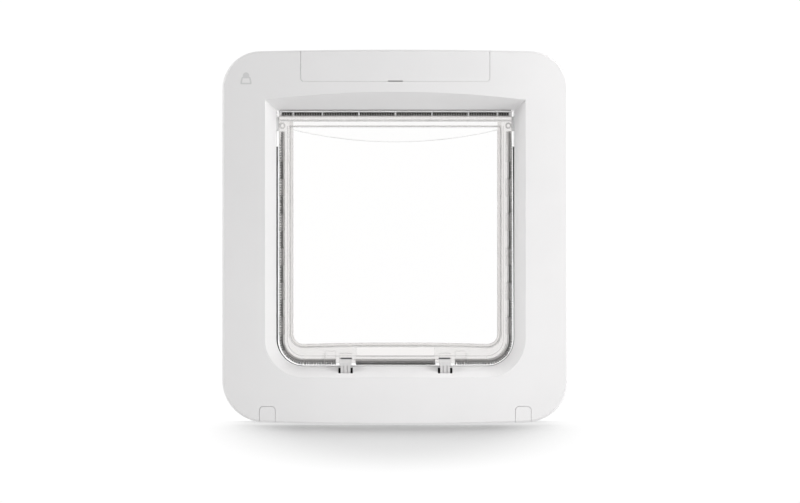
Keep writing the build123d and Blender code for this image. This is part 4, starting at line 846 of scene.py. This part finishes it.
def pan_head_screw(seat, end):
    """One screw along Y at the middle of the frame, with its head's underside at the seat."""
    screw = bmesh.new()
    crown = seat - HEAD_HEIGHT
    arm, half = RECESS_ARM, RECESS_HALF
    quarter = ((arm, -half), (arm, half), (half, half))
    cross = [
        screw.verts.new(Matrix.Rotation(-turn * math.pi / 2, 4, "Y") @ Vector((x, crown, z)))
        for turn in range(4)
        for x, z in quarter
    ]
    recess = bmesh.ops.contextual_create(screw, geom=cross)["faces"]
    slot_edges = recess[0].edges[:]
    round_turn = Matrix.Translation((0.0, crown, 0.0)) @ Matrix.Rotation(math.pi / 2, 4, "X")
    circle = {"segments": SCREW_SEGMENTS, "radius": CROWN_RADIUS, "matrix": round_turn}
    rim = bmesh.ops.create_circle(screw, **circle)["verts"]
    loop = list({edge for vert in rim for edge in vert.link_edges})
    bmesh.ops.bridge_loops(screw, edges=slot_edges + loop)
    floor_faces = run_on(screw, recess, (0.0, RECESS_DEPTH, 0.0))
    floor_verts = list({vert for face in floor_faces for vert in face.verts})
    bmesh.ops.scale(screw, verts=floor_verts, vec=(RECESS_FLOOR, 1.0, RECESS_FLOOR))
    radius = CROWN_RADIUS
    for share, drop in HEAD_PROFILE:
        loop = ring_on(screw, loop, crown + HEAD_HEIGHT * drop, HEAD_RADIUS * share / radius)
        radius = HEAD_RADIUS * share
    loop = ring_on(screw, loop, seat, SHANK_RADIUS / radius)
    loop = ring_on(screw, loop, end - TIP_LENGTH, 1.0)
    loop = ring_on(screw, loop, end, TIP_SHARE)
    bmesh.ops.contextual_create(screw, geom=loop)
    thread_end = end - TIP_LENGTH - THREAD_PITCH
    turns = math.floor((thread_end - seat) / THREAD_PITCH)
    sunk = SHANK_RADIUS - THREAD_PITCH / 10
    ridge = (
        (sunk, seat),
        (THREAD_RADIUS, seat + THREAD_PITCH / 2),
        (sunk, seat + THREAD_PITCH),
    )
    tooth = [screw.verts.new((reach, y, 0.0)) for reach, y in ridge]
    winding = {
        "geom": bmesh.ops.contextual_create(screw, geom=tooth)["faces"],
        "axis": through,
        "dvec": (0.0, THREAD_PITCH / THREAD_STEPS, 0.0),
        "angle": 2 * math.pi * turns,
        "steps": turns * THREAD_STEPS,
    }
    bmesh.ops.spin(screw, **winding)
    bmesh.ops.recalc_face_normals(screw, faces=screw.faces[:])
    return screw


screws = bmesh.new()
for x, seat, z in SCREW_SEATS:
    for side in (-1, 1):
        screw = pan_head_screw(seat, screw_end)
        bmesh.ops.translate(screw, verts=screw.verts[:], vec=(side * x, 0.0, z))
        turned = bpy.data.meshes.new("screw")
        screw.to_mesh(turned)
        screw.free()
        screws.from_mesh(turned)
        bpy.data.meshes.remove(turned)
screw_steel = plated_steel("screw_steel", SCREW_LIGHT, SCREW_DARK, SCREW_MARKS, roughness=0.28)
add_piece("pan_head_screws", screws, screw_steel, "frame", "screw_steel", "fixing_screws")


# Floor: a white paper sweep that the frame stands on, which throws an even light up at it.
# Close in front of the frame it takes the soft shadow, and further off it fades to the backdrop's white.
def looked_at(wire):
    """1 for rays from the camera and those that gloss or clear plastic pass on, and 0 for other rays."""
    seen = wire.node("LightPath", output="Is Camera Ray")
    seen = wire.math("MAXIMUM", seen, wire.node("LightPath", output="Is Glossy Ray"))
    return wire.math("MAXIMUM", seen, wire.node("LightPath", output="Is Transmission Ray"))


FLOOR_SIZE = 8.0
FLOOR_WHITE = (0.9, 0.9, 0.9, 1.0)
WHITE = (1.0, 1.0, 1.0, 1.0)
BACKDROP = 1.02
FLOOR_GAP = 0.0002
FADE_REACH = (0.153, 0.748, 1.0)
FADE_START = 0.45
FADE_END = 1.0
FLOOR_LIFT = 0.31
FLOOR_BOUNCE = 0.78
floor_paper, wire = new_finish("floor_paper")
floor_paper.cycles.emission_sampling = "NONE"
place = wire.node("TexCoord", output="Object")
flat = wire.node("VectorMath", {"operation": "MULTIPLY"}, {0: place, 1: (1.0, 1.0, 0.0)})
spread = wire.node("VectorMath", {"operation": "DIVIDE"}, {0: flat, 1: FADE_REACH})
away = wire.node("VectorMath", {"operation": "LENGTH"}, {0: spread}, "Value")
shaded = 1.0 - away.step(FADE_START, FADE_END)
seen = looked_at(wire)
paper = wire.node("BsdfDiffuse", sockets={"Color": FLOOR_WHITE})
glow = FLOOR_BOUNCE + seen * (BACKDROP - FLOOR_BOUNCE)
plain = wire.node("Emission", sockets={"Color": WHITE, "Strength": glow})
lift = 1.0 - (1.0 - FLOOR_LIFT) * shaded
fade = {0: lift * seen + (1.0 - seen), 1: paper, 2: plain}
wire.node("OutputMaterial", sockets={"Surface": wire.node("MixShader", sockets=fade)})
sweep = bmesh.new()
bmesh.ops.create_grid(sweep, x_segments=1, y_segments=1, size=FLOOR_SIZE / 2)
bmesh.ops.translate(sweep, verts=sweep.verts[:], vec=(0.0, 0.0, cad_box[0].z - FLOOR_GAP))
floor_mesh = bpy.data.meshes.new("floor")
sweep.to_mesh(floor_mesh)
sweep.free()
floor_mesh.materials.append(floor_paper)
floor = bpy.data.objects.new("floor", floor_mesh)
bpy.context.scene.collection.objects.link(floor)

# World: the backdrop, plain white where the eye, gloss or clear plastic looks at it.
# On everything else it is a weak even light.
AMBIENT = 0.06
world = bpy.data.worlds.new("studio")
bpy.context.scene.world = world
world.use_nodes = True
world.node_tree.nodes.clear()
wire = Wire(world.node_tree)
seen = looked_at(wire)
sky = wire.node("Background", sockets={"Color": WHITE, "Strength": AMBIENT + seen * (BACKDROP - AMBIENT)})
wire.node("OutputWorld", sockets={"Surface": sky})

# Lamps: two keys close on the right and two fills on the left, well to the side, so that the recess's slopes
# stand out, and weak ones above, along the bottom band and behind. The floor and the tunnel have their own.
# Each has its place, the point that it faces, its width and height, and its power in watts.
FRAME_LAMPS = {
    "key_high": ((0.58, -0.27, 0.31), (0.0, -0.03, 0.0), 0.3, 0.3, 2.85),
    "key_low": ((0.59, -0.28, -0.10), (0.0, -0.03, 0.0), 0.3, 0.3, 1.32),
    "fill_high": ((-1.0, -0.29, 0.6), (0.0, -0.03, 0.0), 0.5, 0.5, 7.6),
    "fill_low": ((-1.13, -0.41, 0.0), (0.0, -0.03, 0.0), 0.5, 0.5, 0.3),
    "top": ((0.15, -0.27, 0.85), (0.0, -0.03, -0.1), 0.4, 0.4, 1.0),
    "far_side": ((0.35, 1.05, 0.45), (0.0, 0.04, 0.0), 0.5, 0.5, 6.0),
    "bottom_strip": ((0.03, -0.22, -0.108), (0.03, 0.0, -0.115), 0.3, 0.05, 0.09),
}
TUNNEL_LAMPS = {
    "tunnel_glow": ((0.0, 0.40, 0.0), (0.0, 0.0, 0.0), 0.5, 0.5, 5.0),
}
FLOOR_LAMPS = {
    "floor_wash": ((0.0, 1.0, 1.3), (0.0, 0.0, -0.142), 2.4, 1.6, 54.0),
}
linked_lamps = (
    (FRAME_LAMPS, floor, "EXCLUDE"),
    (TUNNEL_LAMPS, nodes["chassis"], "INCLUDE"),
    (FLOOR_LAMPS, floor, "INCLUDE"),
)
for lamps, lit, share in linked_lamps:
    receivers = bpy.data.collections.new(lit.name + "_" + share.lower())
    receivers.objects.link(lit)
    receivers.collection_objects[0].light_linking.link_state = share
    for name, (place, target, width, height, power) in lamps.items():
        lamp = bpy.data.lights.new(name, "AREA")
        lamp.shape = "RECTANGLE"
        lamp.size = width
        lamp.size_y = height
        lamp.energy = power
        holder = bpy.data.objects.new(name, lamp)
        holder.location = place
        holder.rotation_euler = (Vector(target) - Vector(place)).to_track_quat("-Z", "Y").to_euler()
        holder.visible_camera = False
        holder.visible_glossy = False
        holder.visible_transmission = False
        holder.light_linking.receiver_collection = receivers
        bpy.context.scene.collection.objects.link(holder)

# Camera: straight in front of the frame, as in the photograph.
# The frame stands a little up and left of the picture's middle.
PHOTO_WIDTH = 800
PHOTO_HEIGHT = 503
FRAME_MIDDLE_PIXEL = (395.3, 237.2)
PIXEL_AT_FACE = 0.000757
CAMERA_DISTANCE = 3.0
camera_data = bpy.data.cameras.new("camera")
camera_data.lens = camera_data.sensor_width * CAMERA_DISTANCE / (PHOTO_WIDTH * PIXEL_AT_FACE)
camera = bpy.data.objects.new("camera", camera_data)
camera.location = (
    (PHOTO_WIDTH / 2 - FRAME_MIDDLE_PIXEL[0]) * PIXEL_AT_FACE,
    bezel_low.y - CAMERA_DISTANCE,
    (FRAME_MIDDLE_PIXEL[1] - PHOTO_HEIGHT / 2) * PIXEL_AT_FACE,
)
camera.rotation_euler = (math.pi / 2, 0.0, 0.0)
bpy.context.scene.collection.objects.link(camera)
bpy.context.scene.camera = camera
